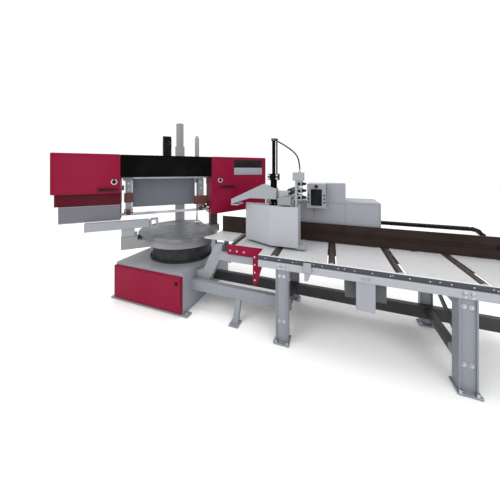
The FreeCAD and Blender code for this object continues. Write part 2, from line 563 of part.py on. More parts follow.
def guides():
    """The rail under the bridge, both band guides and the chip brush on the fixed one."""
    head_node("guide_rail", block("guide rail bar", ("-left_inner + 5", "right_inner - 5"),
              ("-rail_wide / 2", "rail_wide / 2"), ("rail_low", "bridge_low")))
    x = "-left_guide_x"
    outside = block("left shoe outside", (f"{x} - 60", f"{x} + 50"), ("-rail_wide / 2 - 25", "rail_wide / 2 + 25"),
                    ("rail_low - 24", "bridge_low - 2"))
    channel = block("left shoe channel", (f"{x} - 61", f"{x} + 51"),
                    ("-rail_wide / 2 - run_gap", "rail_wide / 2 + run_gap"), ("rail_low - run_gap", "bridge_low"))
    shoe = cut("left shoe", outside, channel)
    head_node("left_guide", join("left guide body", *guide("left", x, "rail_low - run_gap", shoe)))

    x = "right_guide_x"
    arm = block("brush arm", (f"{x} + 20", f"{x} + 90"), (73, 82), (1056, 1150))
    tie = block("brush arm tie", (f"{x} + 20", f"{x} + 35"), (30, 82), (1120, 1150))
    hole = rod("brush bore", "9 + fit_gap", (f"{x} + 68", 72, 1078), 12, "y")
    bracket = cut("brush bracket", join("brush bracket blank", arm, tie), hole)
    head_node("right_guide", join("right guide body", *guide("right", x, "rail_low", bracket)))
    spindle = rod("brush spindle", 9, (f"{x} + 68", 43, 1078), 42, "y")
    brush = rod("brush wheel", 38, (f"{x} + 68", 49, 1078), 22, "y")
    head_node("chip_brush", join("brush and spindle", spindle, brush))


def lift_gear():
    """The lift cylinder on the head and the cable chain above it."""
    barrel = rod("lift barrel", "barrel_radius", ("lift_x", "lift_y", "barrel_low"), "barrel_top - barrel_low - 40")
    nose = DOC.addObject("Part::Cone", "lift nose")
    bind(nose, Radius1="barrel_radius", Radius2="barrel_radius / 2", Height=40)
    put(nose, "lift_x", "lift_y", "barrel_top - 40")
    arm = block("lift bracket", ("lift_x - 30", "lift_x + 30"), ("casting_back", "lift_y"), (1600, 1700))
    bore = rod("lift bore", "lift_rod_radius + fit_gap", ("lift_x", "lift_y", "barrel_low - 1"),
               "barrel_top - barrel_low - 60")
    head_node("lift_cylinder", cut("lift cylinder bored", join("lift cylinder body", barrel, nose, arm), bore))

    foot = block("chain foot", (-250, -130), ("casting_front", "casting_back + 130"), ("head_top - 17", "head_top"))
    links, pitch, across = [], 40, 45
    count, arch = 6, 6
    centre_y, centre_z = "casting_back + 55", f"head_top + {count * pitch}"
    for index in range(count):
        for side, low in (("front", f"{centre_y} - {across} - 18"), ("back", f"{centre_y} + {across} - 18")):
            z = f"head_top + {index * pitch}"
            links.append(chain_link(f"{side} link {index}", (-190, f"{low} + 18", f"{z} + {pitch / 2}"), 0, pitch))
    for index in range(arch):
        angle = (index + 0.5) * 180 / arch
        centre = (-190, f"{centre_y} - {across} * cos({angle})", f"{centre_z} + {across} * sin({angle})")
        links.append(chain_link(f"arch link {index}", centre, angle, 18))
    head_node("lift_chain", foot, *links)


def chain_link(label, centre, angle, pitch, width=110, deep=34, along="y"):
    """One open link of a cable chain, its width along X or Y, turned in the plane across its width."""
    long = pitch - 4
    outside, inside = DOC.addObject("Part::Box", label + " outside"), DOC.addObject("Part::Box", label + " inside")
    bind(outside, Length=width, Width=deep, Height=long)
    bind(inside, Length=width - 24, Width=deep + 2, Height=long - 12 if long > 24 else long * 0.5)
    put(outside, -width / 2, -deep / 2, -long / 2)
    put(inside, -width / 2 + 12, -deep / 2 - 1, -(long - 12 if long > 24 else long * 0.5) / 2)
    link = cut(label, outside, inside)
    axis = FreeCAD.Vector(1, 0, 0)
    turn = FreeCAD.Rotation(axis, -angle)
    if along == "x":
        turn = FreeCAD.Rotation(FreeCAD.Vector(0, 0, 1), 90).multiply(turn)
    link.Placement = FreeCAD.Placement(FreeCAD.Vector(), turn)
    return put(link, *centre)


ROLLERS = 5


def roller_x(index):
    """The middle of one roller along the table."""
    return f"first_roller + {index} * roller_pitch"


def rail_outline(face, inward):
    """The section of a side rail: an outer channel with a thin lip standing above it."""
    def at(depth):
        return f"({face}) + {inward} * ({depth})"
    return [(at(0), "rail_bottom"), (at(0), "rail_step"), (at(10), "rail_step"), (at(10), "rail_lip"),
            (at("10 + rail_wall"), "rail_lip"), (at("10 + rail_wall"), "flange_high"),
            (at("flange_deep"), "flange_high"), (at("flange_deep"), "flange_high - rail_wall"),
            (at("rail_wall"), "flange_high - rail_wall"), (at("rail_wall"), "rail_bottom + rail_wall"),
            (at("flange_deep"), "rail_bottom + rail_wall"), (at("flange_deep"), "rail_bottom")]


def table():
    """The roller table: side rails, cross members, cover plates, rollers and their bearings."""
    long = "table_right - table_left"
    node("front_rail", padded("front rail bar", "YZ_Plane", rail_outline("-table_front", 1), long, "table_left"))
    node("rear_rail", padded("rear rail bar", "YZ_Plane", rail_outline("table_back", -1), long, "table_left"))

    tubes, posts = [], []
    for index in range(ROLLERS):
        x = f"({roller_x(index)} + roller_pitch / 2 + {0 if index < ROLLERS - 1 else 25})"
        if index == 0:
            x = "(table_left + 40)"
        outside = block(f"cross tube {index}", (f"{x} - 30", f"{x} + 30"),
                        ("-table_front + rail_wall", "table_back - rail_wall"),
                        ("rail_bottom + rail_wall", "flange_high - rail_wall"))
        inside = block(f"cross bore {index}", (f"{x} - 26", f"{x} + 26"),
                       ("-table_front", "table_back"), ("rail_bottom + rail_wall + 4", "flange_high - rail_wall - 4"))
        tubes.append(cut(f"cross member {index}", outside, inside))
        posts.append(block(f"plate post {index}", (f"{x} - 15", f"{x} + 15"),
                           ("-table_front + flange_deep + 1", "table_back - flange_deep - 1"),
                           ("flange_high - rail_wall", "plate_top - plate_thick")))

    plates = []
    for index in range(ROLLERS):
        left = f"{roller_x(index)} + roller_radius + 8"
        right = f"{roller_x(index + 1)} - roller_radius - 8" if index < ROLLERS - 1 else "table_right"
        if index == 0:
            plates.append(block("cover plate lead", (left, "table_left"), ("-418", "roller_back + 5"),
                                ("plate_top - plate_thick", "plate_top")))
            left = "table_left"
        plates.append(block(f"cover plate {index}", (left, right), ("-table_front + 18.5", "table_back - 18.5"),
                            ("plate_top - plate_thick", "plate_top")))
    node("cover_plates", *plates)

    axis = "table_top - roller_radius"
    bearings = []
    for index in range(ROLLERS):
        front, reach = ("short_roller_front", "418") if index == 0 else ("roller_front", "table_front - 20")
        back = "table_back - 20"
        outline = [(0, f"-({reach})"), ("journal_radius", f"-({reach})"), ("journal_radius", f"-({front})"),
                   ("roller_radius", f"-({front})"), ("roller_radius", "roller_back"),
                   ("journal_radius", "roller_back"), ("journal_radius", back), (0, back)]
        node(f"roller_{index + 1}", spun(f"roller bar {index}", outline, (roller_x(index), 0, axis), "y"))
        x = roller_x(index)
        for end, low, high in (("front", f"-({reach}) - 2", f"-({reach}) + 6"), ("back", f"{back} - 6", f"{back} + 2")):
            seat = block(f"{end} bearing block {index}", (f"{x} - 26", f"{x} + 26"), (low, high),
                         ("flange_high", f"{axis} + 20"))
            hole = rod(f"{end} bearing hole {index}", "journal_radius + 0.05", (x, low, axis), "30", "y")
            put(hole, x, f"{low} - 1", axis)
            bearings.append(cut(f"{end} bearing {index}", seat, hole))
    node("cross_members", *tubes, *posts, *bearings)


def lead_in():
    """The plate between turntable and rollers, the red side bracket and the frame that holds them."""
    plate = block("lead plate blank", ("carrier_radius", "first_roller - roller_radius - 8"), (-270, 200),
                  ("table_top - 20", "table_top"))
    sweep = rod("turntable sweep", "turntable_radius + 5", (0, 0, "table_top - 21"), 22)
    node("lead_plate", cut("swept lead plate", plate, sweep))
    red = padded("red side plate", "XZ_Plane", [("first_roller - 45", "rail_step - 50"), (1180, "rail_step - 50"),
                 (1180, 418), (1222, 418), ("table_left", 640), ("table_left", "table_top - 4"),
                 ("first_roller - 45", "table_top - 4")], 10, "-430", True)
    node("side_bracket", red)
    beam = block("lead beam", ("first_roller - 150", "table_left"), (-400, -340), (600, 680))
    inner = block("lead beam bore", ("first_roller - 151", "table_left + 1"), (-394, -346), (606, 674))
    back = block("lead back plate", ("first_roller - 45", "table_left"), (252, 262), (560, "plate_top - 10"))
    tie = block("lead tie", (1195, 1225), (-420, 252), (560, 600))
    ends = [block(f"lead post {y}", (590, 640), (y, f"{y} + 50"), (600, "table_top - 20")) for y in (-240, 120)]
    rails = block("lead rail", (590, 885), (-240, 170), (560, 600))
    gusset = padded("gusset", "XZ_Plane", [("base_right", 200), (540, 200), (650, 400), (760, 600), (775, 745),
                    (690, 745), (610, 600), (535, 440), ("base_right", 400)], 90, -330, True)
    node("lead_frame", join("lead frame weld", gusset, cut("lead beam tube", beam, inner), back, tie, *ends, rails,
                            block("lead link", (840, 885), (-340, -240), (560, 640)),
                            block("lead long rail", (840, 1290), (100, 160), (560, 600)),
                            block("lead side strip", (1195, 1225), (-420, -400), (560, 680))))


def legs():
    """Two leg frames: H-section posts on foot plates, cross beams, a diagonal brace and their anchors."""
    names = (("leg_x_one", "near"), ("leg_x_two", "far"))
    posts = []
    for x, label in names:
        for side, low, high, top in (("front", "-table_front", "-table_front + leg_wide", "rail_bottom"),
                                     ("rear", "rear_leg_front", "rear_leg_front + leg_wide / 2 + 10", "rail_bottom")):
            flange_one = block(f"{label} {side} flange one", (f"{x} - leg_wide / 2", f"{x} - leg_wide / 2 + leg_wall"),
                               (low, high), ("foot_thick", top))
            flange_two = block(f"{label} {side} flange two", (f"{x} + leg_wide / 2 - leg_wall", f"{x} + leg_wide / 2"),
                               (low, high), ("foot_thick", top))
            web = block(f"{label} {side} web", (f"{x} - leg_wide / 2 + leg_wall", f"{x} + leg_wide / 2 - leg_wall"),
                        (f"({low}) + 14", f"({low}) + 22"), ("foot_thick", top))
            foot = block(f"{label} {side} foot", (f"{x} - foot_wide / 2", f"{x} + foot_wide / 2"),
                         (f"({low}) - 28", f"({high}) + 12"), (0, "foot_thick"))
            holes = [rod(f"{label} {side} hole {sign}", "anchor_radius", (f"{x} + {sign} * (foot_wide / 2 - 20)",
                         f"({low}) - 12", -1), "foot_thick + 2") for sign in (-1, 1)]
            posts.append(cut(f"{side} leg {label} drilled",
                             join(f"{side} leg {label} weld", flange_one, flange_two, web, foot), *holes))
    node("legs", *posts)
    beams = []
    for x, label in names:
        beams.append(block(f"{label} upper beam", (f"{x} - 40", f"{x} + 40"), ("-table_front + leg_wide", "rear_leg_front"),
                           (580, 660)))
        beams.append(block(f"{label} lower beam", (f"{x} - 30", f"{x} + 30"), ("-table_front + leg_wide", 140), (150, 210)))
        beams.append(padded(f"{label} brace", "YZ_Plane", [("-table_front + leg_wide", 250), ("-table_front + leg_wide", 330),
                     (40, 580), (140, 580)], 10, f"{x} - 5"))
    channel = [(-428, 220), (-428, 335), (-368, 335), (-368, 327), (-420, 327), (-420, 228), (-368, 228), (-368, 220)]
    beams.append(padded("front tie", "YZ_Plane", channel, "leg_x_one + 60 - base_right", "base_right"))
    channel = [(140, 100), (140, 220), ("rear_leg_front", 220), ("rear_leg_front", 212), (148, 212), (148, 108),
               ("rear_leg_front", 108), ("rear_leg_front", 100)]
    beams.append(padded("rear tie", "YZ_Plane", channel, "table_right - base_right", "base_right"))
    pad = padded("stub pad", "XY_Plane", [(960, -560), (1060, -560), (1060, -440), (960, -440)], 15, 0)
    strut = padded("stub strut", "YZ_Plane", [(-500, 15), (-455, 15), (-378, 220), (-423, 220)], 60, 980)
    node("leg_braces", join("leg brace weld", *beams), join("stub foot weld", pad, strut))
    plate = block("hanger plate", (2140, 2280), (-590, -582), (450, "rail_bottom"))
    lip = block("hanger lip", (2140, 2280), (-590, -540), (444, 452))
    ears = [block(f"hanger ear {x}", (x, f"{x} + 8"), (-590, -540), (450, "rail_bottom")) for x in (2140, 2272)]
    box = block("junction box", (2060, 2380), (-470, -300), (480, 640))
    strap = join("junction box and strap", box, block("box strap", (2180, 2240), (-540, -470), (600, 640)),
                 block("box hook", (2180, 2240), (-560, -540), (600, "rail_bottom")))
    tab = padded("switch tab", "XZ_Plane", [(1722, "rail_bottom"), (1722, 620), (1752, 620), (1776, "rail_bottom"),
                 (1776, "rail_step"), (1722, "rail_step")], 8, "-table_front - 8", True)
    head = block("switch head", (1715, 1780), ("-table_front - 26", "-table_front"), ("rail_bottom + 20", "rail_lip - 14"))
    switch = join("switch bracket weld", tab, head)
    bolts = []
    for x in ("leg_x_one - 22", "leg_x_one + 22", "2190", "2230", "leg_x_two - 22", "leg_x_two + 22"):
        bolts.append(rod(f"rail bolt {x}", 11, (x, "-table_front - 8", 712), 8, "y"))
    for x in (1500, 1800, 2050, 2400, 2700, 3000):
        bolts.append(rod(f"lip bolt {x}", 6, (x, "-table_front + 6", 772), 4, "y"))
    node("rail_fittings", join("hanger weld", plate, lip, *ears), strap, switch, *bolts)


def fence():
    """The slotted side guide behind the stock line, on its brackets between the rollers."""
    face, back = "fence_front", "fence_front + fence_thick"
    bar = block("guide bar", ("fence_left", "table_right"), (face, back), ("table_top + 1", "fence_high"))
    slot = block("guide slot", ("slot_left", "slot_right"), (f"{face} - 1", f"{face} + 12"), ("slot_low", "slot_high"))
    brackets = []
    for index, x in enumerate(("table_left + 90", "first_roller + 1.5 * roller_pitch", "first_roller + 2.5 * roller_pitch",
                               "first_roller + 3.5 * roller_pitch", "table_right - 60")):
        brackets.append(padded(f"guide bracket {index}", "YZ_Plane", [(back, "plate_top"), (f"{back} + 45", "plate_top"),
                        (f"{back} + 45", "plate_top + 12"), (f"{back} + 12", "slot_low - 22"), (back, "slot_low - 22")],
                        50, f"{x} - 25"))
    brackets.append(block("guide lead bracket", (640, 700), (back, f"{back} + 30"), ("table_top", "slot_low - 22")))
    node("side_guide", cut("slotted guide bar", bar, slot), *brackets)


def shell(label, x, y, z, wall, *removed):
    """A closed sheet-metal box, each side given as (low, high)."""
    inside = [(f"{side[0]} + {wall}", f"{side[1]} - {wall}") for side in (x, y, z)]
    return cut(label, block(f"{label} outside", x, y, z), block(f"{label} inside", *inside), *removed)


def feed_beam():
    """The beam behind the table with its two ways, and the brackets that carry it on the rear legs."""
    outside = block("beam outside", ("beam_left", "table_right"), ("beam_front", "beam_back"), ("beam_low", "beam_high"))
    inside = block("beam inside", ("beam_left - 1", "table_right + 1"), ("beam_front + 8", "beam_back - 8"),
                   ("beam_low + 8", "beam_high - 8"))
    ways = [block(f"way {side}", ("beam_left", "table_right"), (low, f"{low} + 20"), ("beam_high", "way_high"))
            for side, low in (("front", "beam_front + 15"), ("back", "beam_back - 35"))]
    brackets = []
    for x in ("leg_x_one", "leg_x_two"):
        brackets.append(block(f"beam bracket {x}", (f"{x} - 45", f"{x} + 45"), ("rear_leg_front + 70", "beam_front"),
                              (580, 660)))
    tray = block("chain tray", ("box_left + 200", "table_right"), ("beam_back", "beam_back + 85"), (728, 736))
    holder = block("chain tray holder", ("table_right - 60", "table_right"), ("beam_back", "beam_back + 20"),
                   ("beam_low", 728))
    hanger = block("chain tray bracket", ("leg_x_one + 200", "leg_x_one + 260"), ("beam_back", "beam_back + 20"),
                   ("beam_low", 728))
    node("feed_beam", join("feed beam weld", cut("feed beam tube", outside, inside), *ways, *brackets, tray,
                           holder, hanger))


def carriage():
    """The gripper carriage: its bearings, base, cover box, yoke over the table and the boxes on top."""
    feet = []
    for x in ("box_left + 330", "box_right - 160"):
        for side, low in (("front", "beam_front + 15"), ("back", "beam_back - 35")):
            outside = block(f"{side} bearing outside {x}", (x, f"{x} + 120"), (f"{low} - 5", f"{low} + 35"),
                            ("beam_high + 4", "way_high + 25"))
            inside = block(f"{side} bearing inside {x}", (f"{x} - 1", f"{x} + 121"),
                           (f"{low} - run_gap", f"{low} + 20 + run_gap"), ("beam_high", "way_high + run_gap"))
            feet.append(cut(f"{side} bearing {x}", outside, inside))
    saddle = block("carriage saddle", ("box_left + 270", "box_right - 36"), ("beam_front - 10", "beam_back"),
                   ("way_high + 25", "box_low"))
    yoke = block("yoke bar", ("yoke_left", "yoke_right"), ("-yoke_front", "box_back - 220"), ("box_high", "yoke_top"))
    seat = block("jaw cylinder seat", ("yoke_left + 20", "yoke_right - 20"), (-20, 60), ("yoke_top", "yoke_top + 3"))
    node("feed_carriage", join("carriage weld", saddle, *feet), join("yoke weld", yoke, seat))

    x = ("box_left", "box_right")
    box = shell("gripper box", x, ("box_front", "box_back"), ("box_low", "box_high"), "box_wall")
    jaw = block("rear jaw", ("jaw_box_end + 21", "box_right"), ("fence_front + fence_thick + 5", "box_front"),
                ("slot_low + 3", "slot_high - 3"))
    lead = padded("gripper lead", "XY_Plane", [("box_left", "box_front"), ("box_left", 320), (1180, 200),
                  (1180, "box_front")], "box_high - box_low - 60", "box_low + 60")
    pump = shell("pump box sheet", (1892, 2092), (100, 300), ("box_high", 1457), 3)
    node("gripper_housing", join("gripper weld", box, jaw, lead, pump))
    outline = [(-20, 1186), (95, 1186), (95, "box_high"), (300, "box_high"), (300, 1455), (-20, 1455)]
    inner = [(-17, 1189), (92, 1189), (92, "box_high + 3"), (297, "box_high + 3"), (297, 1452), (-17, 1452)]
    body = padded("control box outside", "YZ_Plane", outline, 200, 1690)
    hollow = padded("control box inside", "YZ_Plane", inner, 194, 1693)
    window = block("control window", (1735, 1845), (-24, -20), (1220, 1390))
    node("control_box", join("control box body", cut("control box sheet", body, hollow), window))

    high = "yoke_top + 35"
    middle = "(yoke_left + yoke_right) / 2"
    barrel = rod("jaw barrel", 32, (middle, -55, high), 350, "y")
    bore = rod("jaw bore", "12 + fit_gap", (middle, -56, high), 310, "y")
    node("jaw_cylinder", cut("jaw cylinder bored", barrel, bore))


def front_jaw():
    """The sliding front jaw: its saddle on the yoke, the box below, the jaw plate and the piston rod."""
    plan = [("jaw_box_tip", -200), ("jaw_box_bend", "-jaw_box_front"), ("jaw_box_end", "-jaw_box_front"),
            ("jaw_box_end", -165), ("jaw_box_tip", -165)]
    outside = padded("front jaw box outside", "XY_Plane", plan, "jaw_box_high - jaw_box_low", "jaw_box_low")
    rounded(outside, 60, (0, 0, 1), lambda middle: abs(middle.x - size("jaw_box_bend")) < 1)
    inner = [("jaw_box_tip + 14", -193), ("jaw_box_bend", "-jaw_box_front + 6"), ("jaw_box_end - 5", "-jaw_box_front + 6"),
             ("jaw_box_end - 5", -171), ("jaw_box_tip + 14", -171)]
    inside = padded("front jaw box inside", "XY_Plane", inner, "jaw_box_high - jaw_box_low - 10", "jaw_box_low + 5")
    box = cut("front jaw box", outside, inside)
    plate = block("front jaw plate", ("jaw_box_tip + 10", "jaw_box_end"), (-165, -150), (830, 1190))
    saddle = block("saddle outside", ("yoke_left - 25", "yoke_right + 25"), (-300, -200), ("jaw_box_high", "yoke_top - 30"))
    channel = block("saddle channel", ("yoke_left - run_gap", "yoke_right + run_gap"), (-301, -199),
                    ("box_high - run_gap", "yoke_top"))
    middle = "(yoke_left + yoke_right) / 2"
    post = block("saddle cheek", ("yoke_left - 25", "yoke_left - run_gap"), (-270, -250), ("yoke_top - 31", "yoke_top + 60"))
    lug = block("saddle lug", ("yoke_left - 25", f"{middle} + 20"), (-270, -250), ("yoke_top + 8", "yoke_top + 60"))
    rod_bar = rod("jaw piston rod", 12, (middle, -255, "yoke_top + 35"), 305, "y")
    node("front_jaw", join("front jaw weld", box, plate, cut("saddle", saddle, channel), post, lug, rod_bar))

    x, y = "clamp_x", "clamp_y"
    collar = rod("clamp collar", 48, (x, y, "jaw_box_high"), 17)
    column = rod("clamp column", "clamp_radius", (x, y, "jaw_box_high"), 269)
    head = block("clamp head", (f"{x} - 56", f"{x} + 56"), (f"{y} - 45", f"{y} + 45"), (1502, 1571))
    upper = rod("clamp cylinder", 18, (x, y, 1571), 361)
    cap = rod("clamp cap", 27, (x, y, 1932), 24)
    pipe = rod("clamp pipe", 8, (f"{x} + 34", y, 1571), 365)
    foot = block("clamp cap ear", (f"{x} + 15", f"{x} + 44"), (f"{y} - 10", f"{y} + 10"), (1936, 1950))
    node("clamp_post", join("clamp post weld", collar, column, head, upper, cap, pipe, foot))
    outline = [(1400, 1299), (1400, 1411), (1249, 1455), (878, 1280), (878, 1224), (1100, 1299)]
    arm = padded("hold down blank", "XZ_Plane", outline, 110, f"{y} - 55", True)
    bore = rod("hold down bore", "clamp_radius + fit_gap", (x, y, 1290), 170)
    shoe = block("hold down pad", (878, 960), (f"{y} - 55", f"{y} + 110"), (1212, 1226))
    node("hold_down_arm", cut("bored hold down", join("hold down with pad", arm, shoe), bore))

    plate = block("manifold plate", (1600, 1620), (-330, -200), ("jaw_box_high", 1500))
    blocks = [block(f"valve block {low}", (1620, 1665), (-320, -210), (low, f"{low} + 55")) for low in (1300, 1370, 1440)]
    top = block("manifold head", (1575, 1680), (-325, -205), (1500, 1585))
    node("valve_manifold", join("manifold body", plate, *blocks, top))


def swept(label, points, radius, bend):
    """A round hose through corner points with arcs at the corners."""
    places = [FreeCAD.Vector(*[size(value) for value in point]) for point in points]
    wire, start = [], places[0]
    for before, corner, after in zip(places, places[1:], places[2:]):
        back, on = (before - corner).normalize(), (after - corner).normalize()
        half = math.acos(max(-1, min(1, back.dot(on)))) / 2
        reach = bend / math.tan(half)
        first, last = corner + back * reach, corner + on * reach
        inward = (back + on).normalize()
        middle = corner + inward * (bend / math.sin(half) - bend)
        wire += [Part.makeLine(start, first), Part.Arc(first, middle, last).toShape()]
        start = last
    wire.append(Part.makeLine(start, places[-1]))
    path = Part.Wire(wire)
    heading = (places[1] - places[0]).normalize()
    ring = Part.Wire(Part.makeCircle(radius, places[0], heading))
    hose = DOC.addObject("Part::Feature", label)
    hose.Shape = path.makePipeShell([ring], True, True)
    return hose


def hoses():
    """The hose between the clamp cylinder and the valve manifold."""
    run = [("clamp_x + 10", "clamp_y - 27", 1944), ("clamp_x + 10", "clamp_y - 110", 1944),
           (1600, "clamp_y - 130", 1800), (1640, "clamp_y - 15", 1700), (1640, "clamp_y - 15", 1585)]
    node("clamp_hose", swept("clamp hose run", run, 7, 45))


def feed_chain():
    """The cable chain that follows the carriage, its upper run, bend and lower run on the tray."""
    pitch, radius, links = 42, 110, []
    centre_x, high, low = 3330, 980, 760
    for index in range(21):
        x = centre_x - (index + 0.5) * pitch
        links.append(chain_link(f"upper link {index}", (x, 475, high), 90, pitch, 70, 34, "x"))
    for index in range(8):
        angle = math.radians((index + 0.5) * 22.5)
        place = (centre_x + radius * math.sin(angle), 475, (high + low) / 2 + radius * math.cos(angle))
        links.append(chain_link(f"bend link {index}", place, 90 + (index + 0.5) * 22.5, pitch - 4, 70, 34, "x"))
    for index in range(31):
        x = centre_x - (index + 0.5) * pitch
        links.append(chain_link(f"lower link {index}", (x, 475, low), 90, pitch, 70, 34, "x"))
    node("feed_chain", *links)


fill_sheet()
for build in (base, bearing, swivel, casting, cases, doors, running_gear, saw_band, guides, lift_gear, table,
              lead_in, legs, fence, feed_beam, carriage, front_jaw, hoses, feed_chain):
    build()
DOC.recompute()

broken = [piece.Label for piece in DOC.Objects if "Invalid" in piece.State]
for sub_part in NODES:
    shape = sub_part.Shape
    if shape.isNull() or not shape.isValid() or not shape.Solids:
        broken.append(sub_part.Label)
if broken:
    raise RuntimeError(f"these did not build: {broken}")
os.makedirs("parts", exist_ok=True)
for sub_part in NODES:
    sub_part.Shape.exportStep(f"parts/{sub_part.Label}.step")
print(f"{len(NODES)} sub-parts written")
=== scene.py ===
"""Looks of the mitre band saw: finishes, fittings, floor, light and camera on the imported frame.

Lengths are in metres. Points of the saw head are worked out in the head's own axes, x along the band and
y away from the operator, and are turned about Z by the mitre angle at rest.
"""
from __future__ import annotations

import logging
import math
from dataclasses import dataclass
from enum import Enum
from typing import Any, Sequence

import bpy
import numpy as np
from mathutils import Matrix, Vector

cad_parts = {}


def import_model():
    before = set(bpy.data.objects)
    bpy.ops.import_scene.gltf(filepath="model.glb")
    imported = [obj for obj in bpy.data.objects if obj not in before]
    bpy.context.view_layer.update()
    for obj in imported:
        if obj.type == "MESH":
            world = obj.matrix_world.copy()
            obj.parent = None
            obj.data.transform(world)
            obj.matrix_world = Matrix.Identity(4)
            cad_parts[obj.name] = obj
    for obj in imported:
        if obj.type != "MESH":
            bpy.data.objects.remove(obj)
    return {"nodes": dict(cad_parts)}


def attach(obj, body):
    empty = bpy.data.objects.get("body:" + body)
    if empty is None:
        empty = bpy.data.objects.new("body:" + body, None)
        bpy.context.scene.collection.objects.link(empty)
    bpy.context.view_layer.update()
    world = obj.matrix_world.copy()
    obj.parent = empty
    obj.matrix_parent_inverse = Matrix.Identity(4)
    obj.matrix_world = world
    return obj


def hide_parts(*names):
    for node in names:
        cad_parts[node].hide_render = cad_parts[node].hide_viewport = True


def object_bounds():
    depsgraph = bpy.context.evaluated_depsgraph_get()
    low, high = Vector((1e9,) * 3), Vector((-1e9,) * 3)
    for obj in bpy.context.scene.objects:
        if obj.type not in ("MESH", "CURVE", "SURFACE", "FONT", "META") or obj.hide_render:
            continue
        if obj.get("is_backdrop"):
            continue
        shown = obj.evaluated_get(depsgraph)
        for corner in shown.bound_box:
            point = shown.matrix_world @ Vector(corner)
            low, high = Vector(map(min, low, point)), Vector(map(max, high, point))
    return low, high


LOG = logging.getLogger("mitre_band_saw")
MITRE = math.radians(45.0)
LEG_FRAMES = (1.516, 2.862)
EDGE_SOFTNESS = 0.0025
DUST = (0.45, 0.45, 0.45)
RUBBED_THROUGH = (0.03, 0.03, 0.03)
Points = np.ndarray
Link = Any


class Along(Enum):
    """The row axis that a round piece stands along."""

    X = 0
    Y = 1
    Z = 2


class Value:
    """A shader socket that takes part in Python arithmetic by adding Math nodes."""

    def __init__(self, tree: "Shader", socket: Any) -> None:
        """Keep the socket and the node tree that it belongs to."""
        self.tree = tree
        self.socket = socket

    def _math(self, operation: str, *terms: Link) -> "Value":
        """Add one Math node.

        Args:
            operation: the Math node's operation.
            terms: numbers or values, in the node's order.

        Returns:
            The node's result.
        """
        return self.tree.add("ShaderNodeMath", {"operation": operation}, dict(enumerate(terms)))

    def __add__(self, other: Link) -> "Value":
        """Sum."""
        return self._math("ADD", self, other)

    __radd__ = __add__

    def __sub__(self, other: Link) -> "Value":
        """Difference."""
        return self._math("SUBTRACT", self, other)

    def __rsub__(self, other: Link) -> "Value":
        """Difference from a number."""
        return self._math("SUBTRACT", other, self)

    def __mul__(self, other: Link) -> "Value":
        """Product."""
        return self._math("MULTIPLY", self, other)

    __rmul__ = __mul__

    def __gt__(self, other: Link) -> "Value":
        """One where the value is greater, else zero."""
        return self._math("GREATER_THAN", self, other)

    def sine(self) -> "Value":
        """Sine of the value in radians."""
        return self._math("SINE", self)

    def between(self, low: float, high: float) -> "Value":
        """Zero below low and one above high, with a smooth rise between."""
        settings = {"interpolation_type": "SMOOTHSTEP"}
        return self.tree.add("ShaderNodeMapRange", settings, {"Value": self, "From Min": low, "From Max": high})


